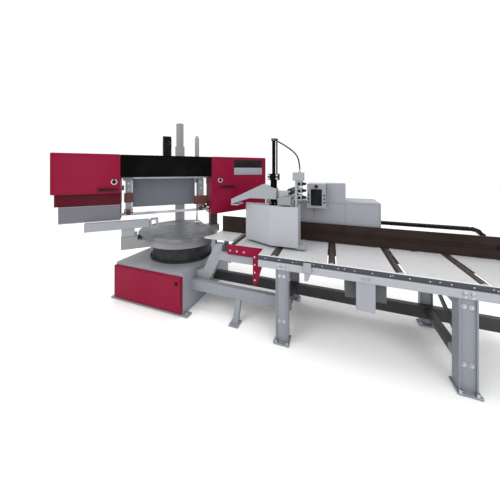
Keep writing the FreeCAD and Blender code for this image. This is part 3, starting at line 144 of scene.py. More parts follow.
class Shader:
    """The node tree of one material, built up by expressions."""

    def __init__(self, name: str) -> None:
        """Start an empty material with a Principled shader on its output."""
        self.material = bpy.data.materials.new(name)
        self.material.use_nodes = True
        self.nodes = self.material.node_tree.nodes
        self.links = self.material.node_tree.links
        self.nodes.clear()
        self.output = self.nodes.new("ShaderNodeOutputMaterial")
        self.surface = self.nodes.new("ShaderNodeBsdfPrincipled")
        self.links.new(self.surface.outputs["BSDF"], self.output.inputs["Surface"])
        self.place = self.add("ShaderNodeTexCoord", {}, {}, "Object")

    def add(self, kind: str, settings: dict[str, Any], sockets: dict[Any, Link], result: Any = 0) -> Value:
        """Add one node.

        Args:
            kind: the node's type.
            settings: attributes that are set first; "stops" fills a colour ramp.
            sockets: numbers, tuples or values for its inputs, by name or index.
            result: name or index of the output that is returned.

        Returns:
            The chosen output.
        """
        node = self.nodes.new(kind)
        for name, setting in settings.items():
            if name == "stops":
                ramp = node.color_ramp.elements
                while len(ramp) < len(setting):
                    ramp.new(0.5)
                for element, (position, colour) in zip(ramp, setting):
                    element.position, element.color = position, (*colour, 1.0)
            else:
                setattr(node, name, setting)
        for name, value in sockets.items():
            if isinstance(value, Value):
                self.links.new(value.socket, node.inputs[name])
            else:
                node.inputs[name].default_value = value
        return Value(self, node.outputs[result])

    def noise(self, scale: float, detail: float = 3.0, stretch: Sequence[float] = (1, 1, 1)) -> Value:
        """Cloudy noise between 0 and 1 over the piece, its frequency scale per metre times stretch."""
        mapped = self.add("ShaderNodeMapping", {}, {"Vector": self.place, "Scale": tuple(stretch)})
        return self.add("ShaderNodeTexNoise", {}, {"Vector": mapped, "Scale": scale, "Detail": detail})

    def axis(self, which: Along) -> Value:
        """One coordinate of the surface point in the row frame."""
        return self.add("ShaderNodeSeparateXYZ", {}, {0: self.place}, which.value)

    def mix(self, share: Link, first: Any, second: Any) -> Value:
        """A colour between two colours, by a share from 0 to 1."""
        first, second = [c if isinstance(c, Value) else (*c, 1.0) for c in (first, second)]
        return self.add("ShaderNodeMix", {"data_type": "RGBA"}, {0: share, 6: first, 7: second}, 2)

    def bump(self, height: Value, depth: float, strength: float = 1.0) -> None:
        """Raise the surface by a height value, depth metres at one."""
        soft = self.add("ShaderNodeBevel", {"samples": 4}, {"Radius": EDGE_SOFTNESS})
        bump = self.add("ShaderNodeBump", {}, {"Height": height, "Distance": depth, "Strength": strength,
                                               "Normal": soft})
        self.links.new(bump.socket, self.surface.inputs["Normal"])

    def finish(self, colour: Link, rough: Link, metal: float = 0.0, gloss: float = 0.3) -> bpy.types.Material:
        """Feed the shader.

        Args:
            colour: base colour, a value or a triple.
            rough: roughness, a value or a number.
            metal: metallic share.
            gloss: specular level, the same all over the surface.

        Returns:
            The material.
        """
        for name, value in (("Base Color", colour), ("Roughness", rough), ("Metallic", metal)):
            if isinstance(value, Value):
                self.links.new(value.socket, self.surface.inputs[name])
            else:
                self.surface.inputs[name].default_value = (*value, 1.0) if isinstance(value, tuple) else value
        self.surface.inputs["Specular IOR Level"].default_value = gloss
        return self.material


@dataclass(frozen=True)
class Enamel:
    """Sprayed machine enamel: fine orange peel, faint dust in broad patches, small rubbed spots; optionally painted
    shade, a second colour past a shade border.
    """

    name: str
    colour: tuple[float, float, float]
    rough: float = 0.38
    peel: float = 0.00012
    rubbed: float = 0.10
    dust: float = 0.012
    gloss: float = 0.30
    # second, border and its axis paint shade: past the border the surface takes the second colour, so one side of the
    # split is painted shade and the other the lit colour.
    second: tuple[float, float, float] | None = None
    shade_border: float = 0.0
    shade_border_axis: Along = Along.Z

    def material(self) -> bpy.types.Material:
        """Colour = enamel, or a second colour past a border where one side of the split is painted shade, with pale
        dust and dark rubbed spots; peel as bump.
        """
        shader = Shader(self.name)
        patches = shader.noise(2.2, 4.0).between(0.38, 0.72)
        specks = shader.noise(46.0, 6.0).between(0.62, 0.70)
        colour: Link = self.colour
        if self.second:
            # painted shade: the colour switches to second past the border on the chosen axis
            colour = shader.mix(shader.axis(self.shade_border_axis) > self.shade_border, self.colour, self.second)
        colour = shader.mix(patches * self.dust, colour, DUST)
        colour = shader.mix(specks * self.rubbed, colour, RUBBED_THROUGH)
        rough = self.rough + patches * 0.10 + shader.noise(120.0, 2.0) * 0.05
        shader.bump(shader.noise(420.0, 2.0), self.peel)
        return shader.finish(colour, rough, gloss=self.gloss)


@dataclass(frozen=True)
class Metal:
    """Bare or browned metal with grinding lines along one axis and thin oil stains."""

    name: str
    colour: tuple[float, float, float]
    rough: float = 0.32
    grain: tuple[float, float, float] = (1, 1, 14)
    metallic: float = 1.0
    stained: float = 0.35
    gloss: float = 0.4

    def material(self) -> bpy.types.Material:
        """Colour and roughness follow noise stretched across the grinding direction."""
        shader = Shader(self.name)
        lines = shader.noise(38.0, 5.0, self.grain)
        stains = shader.noise(5.5, 5.0).between(0.45, 0.72) * self.stained
        dark = tuple(c * 0.55 for c in self.colour)
        bright = tuple(min(1.0, c * 1.18) for c in self.colour)
        colour = shader.mix(stains, shader.mix(lines, self.colour, bright), dark)
        shader.bump(lines, 0.00008)
        return shader.finish(colour, self.rough + lines * 0.10 + stains * 0.25, self.metallic, gloss=self.gloss)


@dataclass(frozen=True)
class Casting:
    """Painted or oiled casting with sand texture."""

    name: str
    colour: tuple[float, float, float]
    rough: float = 0.55
    metallic: float = 0.25

    def material(self) -> bpy.types.Material:
        """Bump from two noises; colour darkens in the hollows of the coarse one."""
        shader = Shader(self.name)
        sand, lumps = shader.noise(260.0, 4.0), shader.noise(9.0, 4.0)
        colour = shader.mix(lumps.between(0.35, 0.65), tuple(c * 0.7 for c in self.colour), self.colour)
        shader.bump(sand * 0.6 + lumps * 0.4, 0.0006)
        return shader.finish(colour, self.rough + sand * 0.12, self.metallic, gloss=0.2)


@dataclass(frozen=True)
class Moulded:
    """Moulded plastic or rubber with a fine leather-like grain."""

    name: str
    colour: tuple[float, float, float]
    rough: float = 0.5

    def material(self) -> bpy.types.Material:
        """Grain from fine noise; roughness varies a little with handling."""
        shader = Shader(self.name)
        grain, handled = shader.noise(700.0, 2.0), shader.noise(12.0, 3.0)
        colour = shader.mix(handled.between(0.4, 0.7), self.colour, tuple(c * 1.5 + 0.002 for c in self.colour))
        shader.bump(grain, 0.00006)
        return shader.finish(colour, self.rough + handled * 0.15, gloss=0.15)


@dataclass(frozen=True)
class RailPaint:
    """Enamel of the side rails: white top edge, slate lip, grey channel with long rolled grooves."""

    name: str
    white: tuple[float, float, float] = (0.60, 0.61, 0.62)
    slate: tuple[float, float, float] = (0.040, 0.045, 0.055)
    grey: tuple[float, float, float] = (0.33, 0.345, 0.365)
    edge: float = 0.789
    step: float = 0.746

    def material(self) -> bpy.types.Material:
        """Colour by height on the rail; grooves are a sine of height under the step."""
        shader = Shader(self.name)
        height = shader.axis(Along.Z)
        upper, middle = height > self.edge, height > self.step
        wear = shader.noise(30.0, 5.0).between(0.60, 0.72) * 0.3
        colour = shader.mix(upper, shader.mix(middle, self.grey, self.slate), self.white)
        colour = shader.mix(wear, colour, (0.16, 0.165, 0.17))
        grooves = (height * 230.0).sine().between(0.55, 0.95) * (1 - middle)
        shader.bump(1 - grooves, 0.0012)
        return shader.finish(colour, 0.42 + wear * 0.4)


class Workshop:
    """All finishes of the machine, each made once."""

    def __init__(self) -> None:
        """Make every material."""
        kinds = [
            Enamel("crimson_enamel", (0.200, 0.0015, 0.025), 0.40, gloss=0.12),
            # Wheel case: dark painted shade below z = 1.333, where the case lies recessed under the door, and crimson
            # enamel above.
            Enamel("crimson_case_painted_shade_below", (0.070, 0.001, 0.009), 0.40, gloss=0.12, second=(0.200, 0.0015, 0.025),
                   shade_border=1.333),
            Enamel("light_grey", (0.262, 0.272, 0.300)),
            Enamel("pale_grey", (0.345, 0.355, 0.385)),
            Enamel("trough_grey", (0.128, 0.127, 0.147)),
            Enamel("mid_grey", (0.22, 0.222, 0.228)),
            Enamel("column_brown", (0.070, 0.061, 0.056), 0.45, rubbed=0.3),
            Enamel("dark_grey", (0.022, 0.023, 0.023), 0.50, gloss=0.15),
            # Rail fittings: grey at the front and a dark painted shade where y > -0.53, behind the front.
            Enamel("fittings_grey_painted_shade_behind", (0.275, 0.285, 0.315), second=(0.085, 0.088, 0.095), shade_border=-0.53,
                   shade_border_axis=Along.Y),
            # Leg braces: grey at the front and a near black painted shade where y > -0.36, behind the front legs.
            Enamel("braces_grey_painted_shade_behind", (0.225, 0.240, 0.268), second=(0.040, 0.041, 0.042), shade_border=-0.36,
                   shade_border_axis=Along.Y),
            Enamel("base_blue_grey", (0.215, 0.230, 0.258)),
            Enamel("splash_blue", (0.17, 0.19, 0.22), rubbed=0.3),
            Enamel("plate_white", (0.47, 0.47, 0.48), 0.30, rubbed=0.25),
            Enamel("black_enamel", (0.0012, 0.0014, 0.0014), 0.55, gloss=0.03),
            Enamel("guide_brown", (0.105, 0.030, 0.024), 0.45, rubbed=0.4),
            Metal("guide_steel", (0.23, 0.235, 0.25), 0.40, (1, 1, 9), 0.75, 0.4),
            Metal("turntable_steel", (0.175, 0.18, 0.195), 0.42, (9, 1, 1), 0.85, 0.55),
            Metal("bright_steel", (0.46, 0.47, 0.49), 0.30),
            Metal("hard_chrome", (0.70, 0.71, 0.72), 0.10, (1, 1, 4), stained=0.05),
            Metal("band_steel", (0.42, 0.43, 0.45), 0.28, (2, 2, 12)),
            Metal("brown_roller", (0.075, 0.060, 0.052), 0.45, (14, 1, 14), 0.6, 0.5, 0.25),
            Metal("rust_brown", (0.024, 0.0145, 0.012), 0.62, (1, 1, 16), 0.0, 0.5, 0.15),
            Casting("cast_grey", (0.16, 0.165, 0.175)),
            Casting("drum_dark", (0.045, 0.046, 0.050)),
            Casting("head_black", (0.009, 0.0095, 0.010), 0.52, 0.05),
            Moulded("black_plastic", (0.005, 0.005, 0.0055), 0.45),
            Moulded("black_rubber", (0.010, 0.010, 0.010), 0.60),
            Moulded("screen_black", (0.002, 0.0025, 0.003), 0.30),
            RailPaint("rail_paint"),
        ]
        self.finishes = {kind.name: kind.material() for kind in kinds}

    def dress(self, piece: bpy.types.Object, name: str) -> None:
        """Give a piece one finish in every material slot."""
        if not piece.material_slots:
            piece.data.materials.append(self.finishes[name])
        for slot in piece.material_slots:
            slot.material = self.finishes[name]


CARRIED = {
    "floor_pan": "base_blue_grey", "base_case": "light_grey", "base_cover": "crimson_enamel",
    "bearing_drum": "drum_dark", "hose_mast": "mid_grey", "swivel_carrier": "mid_grey",
    "turntable": "turntable_steel", "lift_column": "column_brown", "lift_rod": "hard_chrome",
    "splash_guard": "splash_blue", "vise_arm": "light_grey", "vise_ram": "light_grey",
    "head_casting": "head_black", "left_case": "crimson_case_painted_shade_below", "idler_trough": "trough_grey",
    "right_case": "crimson_enamel", "bridge_cover": "black_enamel", "left_door": "crimson_enamel",
    "right_door": "crimson_enamel", "left_latch": "black_plastic", "right_latch": "black_plastic",
    "drive_wheel": "cast_grey", "idler_wheel": "cast_grey", "drive_unit": "mid_grey",
    "tension_slide": "turntable_steel", "tension_cylinder": "mid_grey", "saw_band": "band_steel",
    "guide_rail": "bright_steel", "left_guide": "guide_steel", "right_guide": "guide_steel",
    "chip_brush": "black_plastic", "lift_cylinder": "light_grey", "lift_chain": "black_plastic",
    "front_rail": "rail_paint", "rear_rail": "rail_paint", "cross_members": "light_grey",
    "cover_plates": "plate_white", "roller_1": "brown_roller", "roller_2": "brown_roller",
    "roller_3": "brown_roller", "roller_4": "brown_roller", "roller_5": "brown_roller",
    "lead_plate": "plate_white", "side_bracket": "crimson_enamel", "lead_frame": "light_grey",
    "legs": "base_blue_grey", "leg_braces": "braces_grey_painted_shade_behind", "rail_fittings": "fittings_grey_painted_shade_behind",
    "side_guide": "rust_brown", "feed_beam": "dark_grey", "feed_carriage": "mid_grey",
    "gripper_housing": "light_grey", "control_box": "light_grey", "jaw_cylinder": "drum_dark",
    "front_jaw": "pale_grey", "clamp_post": "black_enamel", "hold_down_arm": "light_grey",
    "valve_manifold": "light_grey", "clamp_hose": "black_rubber", "feed_chain": "black_plastic",
}


def in_head(points: Points) -> Points:
    """Points given in the head's axes, turned about Z by the mitre angle into the row frame."""
    x, y, z = np.moveaxis(np.asarray(points, float), -1, 0)
    cosine, sine = math.cos(MITRE), math.sin(MITRE)
    return np.stack([x * cosine - y * sine, x * sine + y * cosine, z], -1)


def grid_faces(rows: int, columns: int, round_rows: bool, round_columns: bool) -> Points:
    """Quads of a grid of points, wrapped round in either direction when it closes."""
    i, j = np.meshgrid(np.arange(rows - (not round_rows)), np.arange(columns - (not round_columns)), indexing="ij")
    i, j = i.ravel(), j.ravel()
    k, l = (i + 1) % rows, (j + 1) % columns
    return np.stack([i * columns + j, k * columns + j, k * columns + l, i * columns + l], -1)


@dataclass
class Solid:
    """Points and faces that are gathered into one piece."""

    points: list[Points]
    faces: list[list[int]]

    @classmethod
    def empty(cls) -> "Solid":
        """A solid with nothing in it."""
        return cls([], [])

    @property
    def count(self) -> int:
        """How many points it has so far."""
        return sum(len(p) for p in self.points)

    def tube(self, rings: Points, closed: bool = False) -> "Solid":
        """Skin over rings of points, with its ends filled.

        Args:
            rings: array (rings, points round, 3), each ring turning anticlockwise seen from the far end.
            closed: whether the last ring joins the first.

        Returns:
            The solid itself.
        """
        start, (rows, columns) = self.count, rings.shape[:2]
        quads = grid_faces(rows, columns, closed, True)[:, ::-1] + start
        self.faces += quads.tolist()
        if not closed:
            self.faces.append((start + np.arange(columns)).tolist()[::-1])
            self.faces.append((start + (rows - 1) * columns + np.arange(columns)).tolist())
        self.points.append(rings.reshape(-1, 3))
        return self

    def lathe(self, profile: Sequence[tuple[float, float]], centre: Sequence[float], along: Along | Points = Along.Z,
              round_count: int = 40) -> "Solid":
        """Spin a profile: point = centre + r (cos t e1 + sin t e2) + h axis.

        Args:
            profile: (radius, height) pairs from one end to the other; small radii close the ends.
            centre: the foot of the axis.
            along: a row axis or a direction.
            round_count: points round.

        Returns:
            The solid itself.
        """
        axis = np.eye(3)[along.value] if isinstance(along, Along) else np.asarray(along, float)
        first = np.cross(axis, [0, 0, 1.0] if abs(axis[2]) < 0.9 else [1.0, 0, 0])
        first /= np.linalg.norm(first)
        second = np.cross(axis, first)
        turn = np.linspace(0, 2 * np.pi, round_count, endpoint=False)
        circle = np.cos(turn)[:, None] * first + np.sin(turn)[:, None] * second
        radius, height = np.asarray(profile, float).T
        rings = np.asarray(centre) + radius[:, None, None] * circle + height[:, None, None] * axis
        return self.tube(rings)

    def rounded_box(self, low: Sequence[float], high: Sequence[float], corner: float, head: bool = False) -> "Solid":
        """A box whose upright edges are quarter circles and whose top and bottom rims are stepped in.

        Args:
            low: lowest corner.
            high: highest corner.
            corner: radius of the edges.
            head: whether the corners are given in the head's axes.

        Returns:
            The solid itself.
        """
        low, high = np.asarray(low, float), np.asarray(high, float)
        turn = np.linspace(0, 2 * np.pi, 24, endpoint=False) + np.pi / 24
        rings = []
        for rise in np.linspace(0, np.pi / 2, 4):
            rings.append((corner * (1 - math.sin(rise)), low[2] + corner * (1 - math.cos(rise))))
        rings += [(inset, high[2] + low[2] - z) for inset, z in rings[::-1]]
        sides = np.stack([np.sign(np.cos(turn)), np.sign(np.sin(turn))], -1)
        arc = np.stack([np.cos(turn), np.sin(turn)], -1) * corner
        middle, half = (low[:2] + high[:2]) / 2, (high[:2] - low[:2]) / 2 - corner
        straight = middle + sides * np.maximum(half, 0)
        shape = np.array([np.column_stack([straight + arc * (1 - inset / corner), np.full(24, z)])
                          for inset, z in rings])
        return self.tube(in_head(shape) if head else shape)

    def swept(self, path: Points, radius: float, round_count: int = 14, flat: float = 1.0) -> "Solid":
        """A round or oval bar along a path, frames carried from point to point by cross products.

        Args:
            path: points along the middle.
            radius: half the width.
            round_count: points round.
            flat: second half-width as a share of the first.

        Returns:
            The solid itself.
        """
        path = np.asarray(path, float)
        ahead = np.gradient(path, axis=0)
        ahead /= np.linalg.norm(ahead, axis=1)[:, None]
        side = np.cross(ahead, [0.0, 0.0, 1.0])
        flatlying = np.linalg.norm(side, axis=1) < 1e-3
        side[flatlying] = [1.0, 0.0, 0.0]
        side /= np.linalg.norm(side, axis=1)[:, None]
        up = np.cross(side, ahead)
        turn = np.linspace(0, 2 * np.pi, round_count, endpoint=False)
        rings = (path[:, None] + radius * np.cos(turn)[None, :, None] * side[:, None]
                 - radius * flat * np.sin(turn)[None, :, None] * up[:, None])
        return self.tube(rings[:, ::-1])

    def hexagon(self, centre: Sequence[float], axis: Sequence[float], across: float, height: float) -> "Solid":
        """A bolt head: washer, six-sided head with a turned chamfer on its crown."""
        axis = np.asarray(axis, float)
        self.lathe([(0.0002, 0), (across * 0.95, 0), (across * 0.98, height * 0.10), (across * 0.95, height * 0.2),
                    (0.0002, height * 0.2)], centre, axis, 20)
        half = across / 2 / math.cos(math.pi / 6)
        base = np.asarray(centre) + axis * height * 0.2
        return self.lathe([(half, 0), (half, height * 0.8), (half * 0.86, height)], base, axis, 6)

    def piece(self, name: str, body: str, slot: str, smooth: float = 40.0, bevel: float = 0.0) -> bpy.types.Object:
        """Make the Blender object.

        Args:
            name: the piece's name.
            body: the CAD body it rides on.
            slot: the record's material slot; not used.
            smooth: edges flatter than this many degrees are shaded smooth.
            bevel: width of a live bevel, or none.

        Returns:
            The new object.
        """
        mesh = bpy.data.meshes.new(name)
        mesh.from_pydata(np.concatenate(self.points).tolist(), [], self.faces)
        mesh.update()
        piece = bpy.data.objects.new(name, mesh)
        bpy.context.scene.collection.objects.link(piece)
        mesh.shade_smooth()
        mesh.set_sharp_from_angle(angle=math.radians(smooth))
        if bevel:
            finish = piece.modifiers.new("softened edges", "BEVEL")
            finish.width, finish.segments, finish.limit_method = bevel, 2, "ANGLE"
        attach(piece, body)
        LOG.info("%s: %d points on %s", name, self.count, body)
        return piece


@dataclass
class WheelDoors:
    """Grips, latch rings, rim beads, blank plates and hinge barrels of the two wheel doors."""

    face: float = -0.200
    grip_z: float = 1.383
    latch_z: float = 1.470
    left_grip: tuple[float, float] = (-1.002, -0.802)
    right_grip: tuple[float, float] = (0.480, 0.720)
    left_latch: float = -0.832
    right_latch: float = 0.490
    plate: tuple[float, float, float, float] = (0.70, 1.155, 1.545, 1.760)
    plate_split: float = 1.650

    def grip(self, ends: tuple[float, float]) -> Solid:
        """A bow grip: path x from end to end, depth = 26.5 mm (1 - |u|^10), swept as an oval."""
        along = np.linspace(-1, 1, 41)
        x = (ends[0] + ends[1]) / 2 + along * (ends[1] - ends[0]) / 2
        depth = self.face - 0.0265 * (1 - np.abs(along) ** 10) - 0.001
        path = in_head(np.stack([x, depth, np.full_like(x, self.grip_z)], -1))
        return Solid.empty().swept(path, 0.0105, 16, 1.25)

    def ring(self, x: float) -> Solid:
        """The pale escutcheon round a latch: a low ring with a rounded crown."""
        centre = in_head(np.array([x, self.face, self.latch_z]))
        axis = in_head(np.array([0.0, -1.0, 0.0]))
        profile = [(0.0225, 0), (0.0225, 0.005), (0.024, 0.0065), (0.032, 0.0062), (0.034, 0.004), (0.034, 0)]
        return Solid.empty().lathe(profile, centre, axis, 36)

    def bead(self, left: float, right: float, low_left: float, low_right: float, high: float) -> Solid:
        """The folded bead that runs round a door, just inside its rim."""
        inset = 0.022
        corners = np.array([[left + inset, low_left + inset], [right - inset, low_right + inset],
                            [right - inset, high - inset], [left + inset, high - inset],
                            [left + inset, low_left + inset]])
        share = np.linspace(0, 4, 161)
        path = np.stack([np.interp(share, range(5), corners[:, k]) for k in (0, 1)], -1)
        points = in_head(np.stack([path[:, 0], np.full(161, self.face), path[:, 1]], -1))
        return Solid.empty().swept(points, 0.0022, 6, 0.7)

    def build(self, shop: Workshop) -> None:
        """Make every piece of both doors."""
        sides = (("left", self.left_grip, self.left_latch), ("right", self.right_grip, self.right_latch))
        for side, ends, latch in sides:
            shop.dress(self.grip(ends).piece(f"{side}_door_grip", f"{side}_door", "black_plastic"), "black_plastic")
            shop.dress(self.ring(latch).piece(f"{side}_latch_ring", f"{side}_door", "plate_white"), "plate_white")
        beads = (("left", self.bead(-1.444, -0.767, 1.336, 1.336, 1.800)),
                 ("right", self.bead(0.365, 1.219, 1.000, 1.060, 1.800)))
        for side, bead in beads:
            shop.dress(bead.piece(f"{side}_door_bead", f"{side}_door", "crimson_enamel"), "crimson_enamel")
        left, right, low, high = self.plate
        for name, bottom, top, slot in (("blank_name_plate", self.plate_split, high, "black_plastic"),
                                        ("blank_type_plate", low, self.plate_split - 0.002, "light_grey")):
            plate = Solid.empty().rounded_box((left, self.face - 0.003, bottom), (right, self.face, top), 0.0014, True)
            shop.dress(plate.piece(name, "right_door", slot), slot)
        caps = Solid.empty()
        for x in (-1.451, 1.226):
            for z in (1.474, 1.674):
                centre = in_head(np.array([x, -0.136, z - 0.006]))
                caps.lathe([(0.0005, 0), (0.006, 0), (0.008, 0.003), (0.008, 0.079), (0.006, 0.082), (0.0005, 0.082)],
                           centre)
        shop.dress(caps.piece("door_hinge_barrels", "saw_head", "crimson_enamel"), "crimson_enamel")


@dataclass
class Bolts:
    """Hexagon bolts on feet, pan lugs, drum, rails, boxes and castings, in three groups on the machine frame."""

    across: float = 0.024
    height: float = 0.013

    def feet(self) -> Solid:
        """Anchor bolts through the foot plates and the base lugs."""
        group = Solid.empty()
        for x in LEG_FRAMES:
            for y in (-0.612, 0.188):
                for side in (-0.050, 0.050):
                    group.hexagon((x + side, y, 0.0152), (0, 0, 1), self.across, self.height)
        for x in (-0.605, 0.455):
            for y in (-0.565, 0.575):
                group.hexagon((x, y, 0.0202), (0, 0, 1), self.across, self.height)
        return group

    def frame(self) -> Solid:
        """Bolts of the table frame: leg heads, cross beams, rear tie, deck and mast foot."""
        group = Solid.empty()
        for x in LEG_FRAMES:
            for side in (-0.022, 0.022):
                for z in (0.698, 0.728):
                    group.hexagon((x + side, -0.6002, z), (0, -1, 0), 0.017, 0.009)
                group.hexagon((x + side, -0.5862, 0.20), (0, -1, 0), 0.017, 0.009)
                group.hexagon((x + side, -0.5862, 0.62), (0, -1, 0), 0.017, 0.009)
        for x, y in ((-0.54, -0.56), (0.39, -0.56), (-0.54, 0.59), (0.39, 0.59), (-0.52, -0.1), (0.37, -0.1)):
            group.hexagon((x, y, 0.4602), (0, 0, 1), 0.019, 0.010)
        for x in (0.92, 1.0, 1.08, 1.20, 1.26):
            group.hexagon((x, -0.4302, 0.735 if x < 1.1 else 0.70), (0, -1, 0), 0.011, 0.005)
        for z in (0.46, 0.54, 0.62):
            group.hexagon((1.201, -0.4302, z), (0, -1, 0), 0.010, 0.005)
        for x in (0.47, 0.53):
            for z in (0.22, 0.32):
                group.hexagon((x, -0.3302, z), (0, -1, 0), 0.017, 0.009)
        return group

    def lip(self) -> Solid:
        """Small socket screws along the front side rail and over the cover plates."""
        group = Solid.empty()
        for x in np.arange(1.36, 3.44, 0.128):
            group.lathe([(0.0003, 0), (0.0055, 0), (0.0058, 0.0025), (0.0045, 0.004), (0.0003, 0.004)],
                        (x, -0.590, 0.766), np.array([0, -1.0, 0]), 12)
        for x in np.arange(1.33, 3.40, 0.51):
            for y in (-0.55, -0.165, 0.03):
                group.lathe([(0.0003, -0.001), (0.0075, -0.0004), (0.0075, 0.0003), (0.004, 0.0005), (0.0003, 0.0002)],
                            (x, y, 0.7942), Along.Z, 14)
        return group

    def build(self, shop: Workshop) -> None:
        """Make the bolt groups."""
        shop.dress(self.feet().piece("anchor_bolts", "machine_frame", "bright_steel", 25), "bright_steel")
        shop.dress(self.frame().piece("frame_bolts", "machine_frame", "bright_steel", 25), "bright_steel")
        shop.dress(self.lip().piece("rail_screws", "machine_frame", "bright_steel", 25), "bright_steel")


@dataclass
class SawHead:
    """Guide and arm caps, band teeth, lips, bridge seams, chain hoses and motor fins of the saw head."""

    cutting_edge: float = 1.030
    left_guide: float = -0.685
    right_guide: float = 0.250
    drive: tuple[float, float, float] = (0.868, 0.120, 1.375)

    def teeth(self) -> Solid:
        """A strip of band teeth: height = 4.5 mm times the sawtooth of x over a 7 mm pitch."""
        pitch = 0.007
        x = np.arange(-0.63, 0.195, pitch)
        low = np.full_like(x, self.cutting_edge - 0.0045)
        top = np.full_like(x, self.cutting_edge + 0.001)
        solid = Solid.empty()
        corners = []
        for y in (-0.0006, 0.0006):
            corners.append(np.stack([np.stack([x, np.full_like(x, y), top], -1),
                                     np.stack([x + pitch * 0.92, np.full_like(x, y), top], -1),
                                     np.stack([x + pitch * 0.30, np.full_like(x, y), low], -1)], 1))
        prism = in_head(np.stack(corners, 1)).reshape(-1, 3)
        solid.points.append(prism)
        base = np.arange(len(x))[:, None] * 6
        for face in ((0, 1, 2), (5, 4, 3), (1, 0, 3, 4), (2, 1, 4, 5), (0, 2, 5, 3)):
            solid.faces += (base + np.array(face)).tolist()
        return solid

    def guide_caps(self, x: float) -> Solid:
        """The hard front cover of a guide head with its bevelled rim."""
        return Solid.empty().rounded_box((x - 0.047, -0.046, 1.040), (x + 0.047, -0.038, 1.106), 0.0035, True)

    def arm_cap(self, x: tuple[float, float], z: tuple[float, float]) -> Solid:
        """The painted clamp cap across a guide arm, with two screws in its face."""
        solid, out = Solid.empty(), in_head(np.array([0.0, -1.0, 0.0]))
        solid.rounded_box((x[0], -0.048, z[0]), (x[1], -0.0295, z[1]), 0.006, True)
        for share in (0.2, 0.8):
            solid.hexagon(in_head(np.array([x[0] + share * (x[1] - x[0]), -0.048, sum(z) / 2])), out, 0.012, 0.006)
        return solid

    def guide_screws(self, x: float) -> Solid:
        """Four socket screws in a guide cover and two in its arm."""
        group, out = Solid.empty(), in_head(np.array([0.0, -1.0, 0.0]))
        for side in (-0.035, 0.035):
            for z in (1.052, 1.094):
                group.hexagon(in_head(np.array([x + side, -0.046, z])), out, 0.011, 0.006)
        for z in (1.36, 1.44):
            group.hexagon(in_head(np.array([x, -0.030, z])), out, 0.014, 0.007)
        return group

    def arm_hose(self, x: float) -> Solid:
        """A stiff coolant pipe beside a guide arm: straight down, then a quarter bend to the band."""
        turn = np.linspace(0, np.pi / 2, 12)
        down = np.stack([np.full(16, x + 0.043), np.full(16, -0.020), np.linspace(1.49, 1.160, 16)], -1)
        bend = np.stack([x + 0.043 + 0 * turn, -0.020 - 0.02 * (1 - np.cos(turn)), 1.160 - 0.03 * np.sin(turn)], -1)
        return Solid.empty().swept(in_head(np.concatenate([down, bend[1:]])), 0.0045, 12)

    def lip(self, left: float, right: float, front: float, height: float) -> Solid:
        """One folded lip along the lower edge of a case or trough."""
        path = in_head(np.array([[x, front, height] for x in np.linspace(left + 0.004, right - 0.004, 13)]))
        return Solid.empty().swept(path, 0.004, 8, 0.8)

    def bridge_seams(self) -> Solid:
        """Cover screws and the two hemmed rims of the bridge."""
        solid, out = Solid.empty(), in_head(np.array([0.0, -1.0, 0.0]))
        for z in (1.530, 1.791):
            solid.swept(in_head(np.array([[x, -0.196, z] for x in np.linspace(-0.755, 0.355, 21)])), 0.0035, 8)
        for x in (-0.70, -0.34, 0.02, 0.32):
            for z in (1.552, 1.768):
                solid.hexagon(in_head(np.array([x, -0.1951, z])), out, 0.012, 0.006)
        return solid

    def fins(self) -> Solid:
        """Cooling fins round the motor barrel: rings whose radius steps between 86 and 99 mm."""
        x, y, z = self.drive
        axis = in_head(np.array([0.0, 1.0, 0.0]))
        profile = []
        for start in np.arange(0.0, 0.205, 0.013):
            profile += [(0.0855, start), (0.096, start + 0.001), (0.096, start + 0.004), (0.0855, start + 0.005)]
        profile += [(0.0855, 0.215), (0.092, 0.217), (0.092, 0.252), (0.080, 0.257), (0.0005, 0.257)]
        return Solid.empty().lathe([(0.0855, -0.001), *profile], in_head(np.array([x, y + 0.15, z])), axis, 48)

    def gearbox_ribs(self) -> Solid:
        """Raised cover and bolts on the back of the gearbox."""
        x, y, z = self.drive
        solid, out = Solid.empty(), in_head(np.array([0.0, 1.0, 0.0]))
        solid.lathe([(0.0005, 0), (0.104, 0), (0.108, 0.004), (0.104, 0.010), (0.0005, 0.010)],
                    in_head(np.array([x, y + 0.1495, z])), out, 48)
        for turn in np.arange(8) * np.pi / 4:
            place = in_head(np.array([x + 0.098 * math.cos(turn), y + 0.159, z + 0.098 * math.sin(turn)]))
            solid.hexagon(place, out, 0.013, 0.008)
        return solid

    def chain_hoses(self) -> Solid:
        """Hoses that run up, over and down inside the lift chain: straight runs joined by a half circle."""
        solid = Solid.empty()
        rise, turn = np.linspace(1.80, 2.037, 8), np.linspace(0, np.pi, 15)
        for offset, radius in ((-0.026, 0.0075), (-0.006, 0.009), (0.016, 0.0065), (0.031, 0.005)):
            x, middle, reach = -0.190 + offset, 0.175, 0.045
            up = np.stack([np.full(8, x), np.full(8, middle - reach), rise], -1)
            over = np.stack([np.full(15, x), middle - reach * np.cos(turn), 2.037 + reach * np.sin(turn)], -1)
            down = up[::-1] * np.array([1, 0, 1]) + np.array([0, middle + reach, 0])
            solid.swept(in_head(np.concatenate([up, over[1:], down[1:]])), radius, 10)
        return solid

    def brush(self) -> Solid:
        """Bristle tufts round the chip brush: radius = 38.5 + 2 cos(48 t) mm."""
        turn = np.linspace(0, 2 * np.pi, 192, endpoint=False)
        rings = []
        for y, scale in ((0.050, 0.45), (0.0505, 0.97), (0.055, 1.0), (0.065, 1.0), (0.0695, 0.97), (0.070, 0.45)):
            radius = (0.0385 + 0.002 * np.cos(turn * 48)) * scale
            rings.append(np.stack([0.318 + radius * np.cos(turn), np.full_like(turn, y),
                                   1.078 + radius * np.sin(turn)], -1))
        return Solid.empty().tube(in_head(np.array(rings)[:, ::-1]))

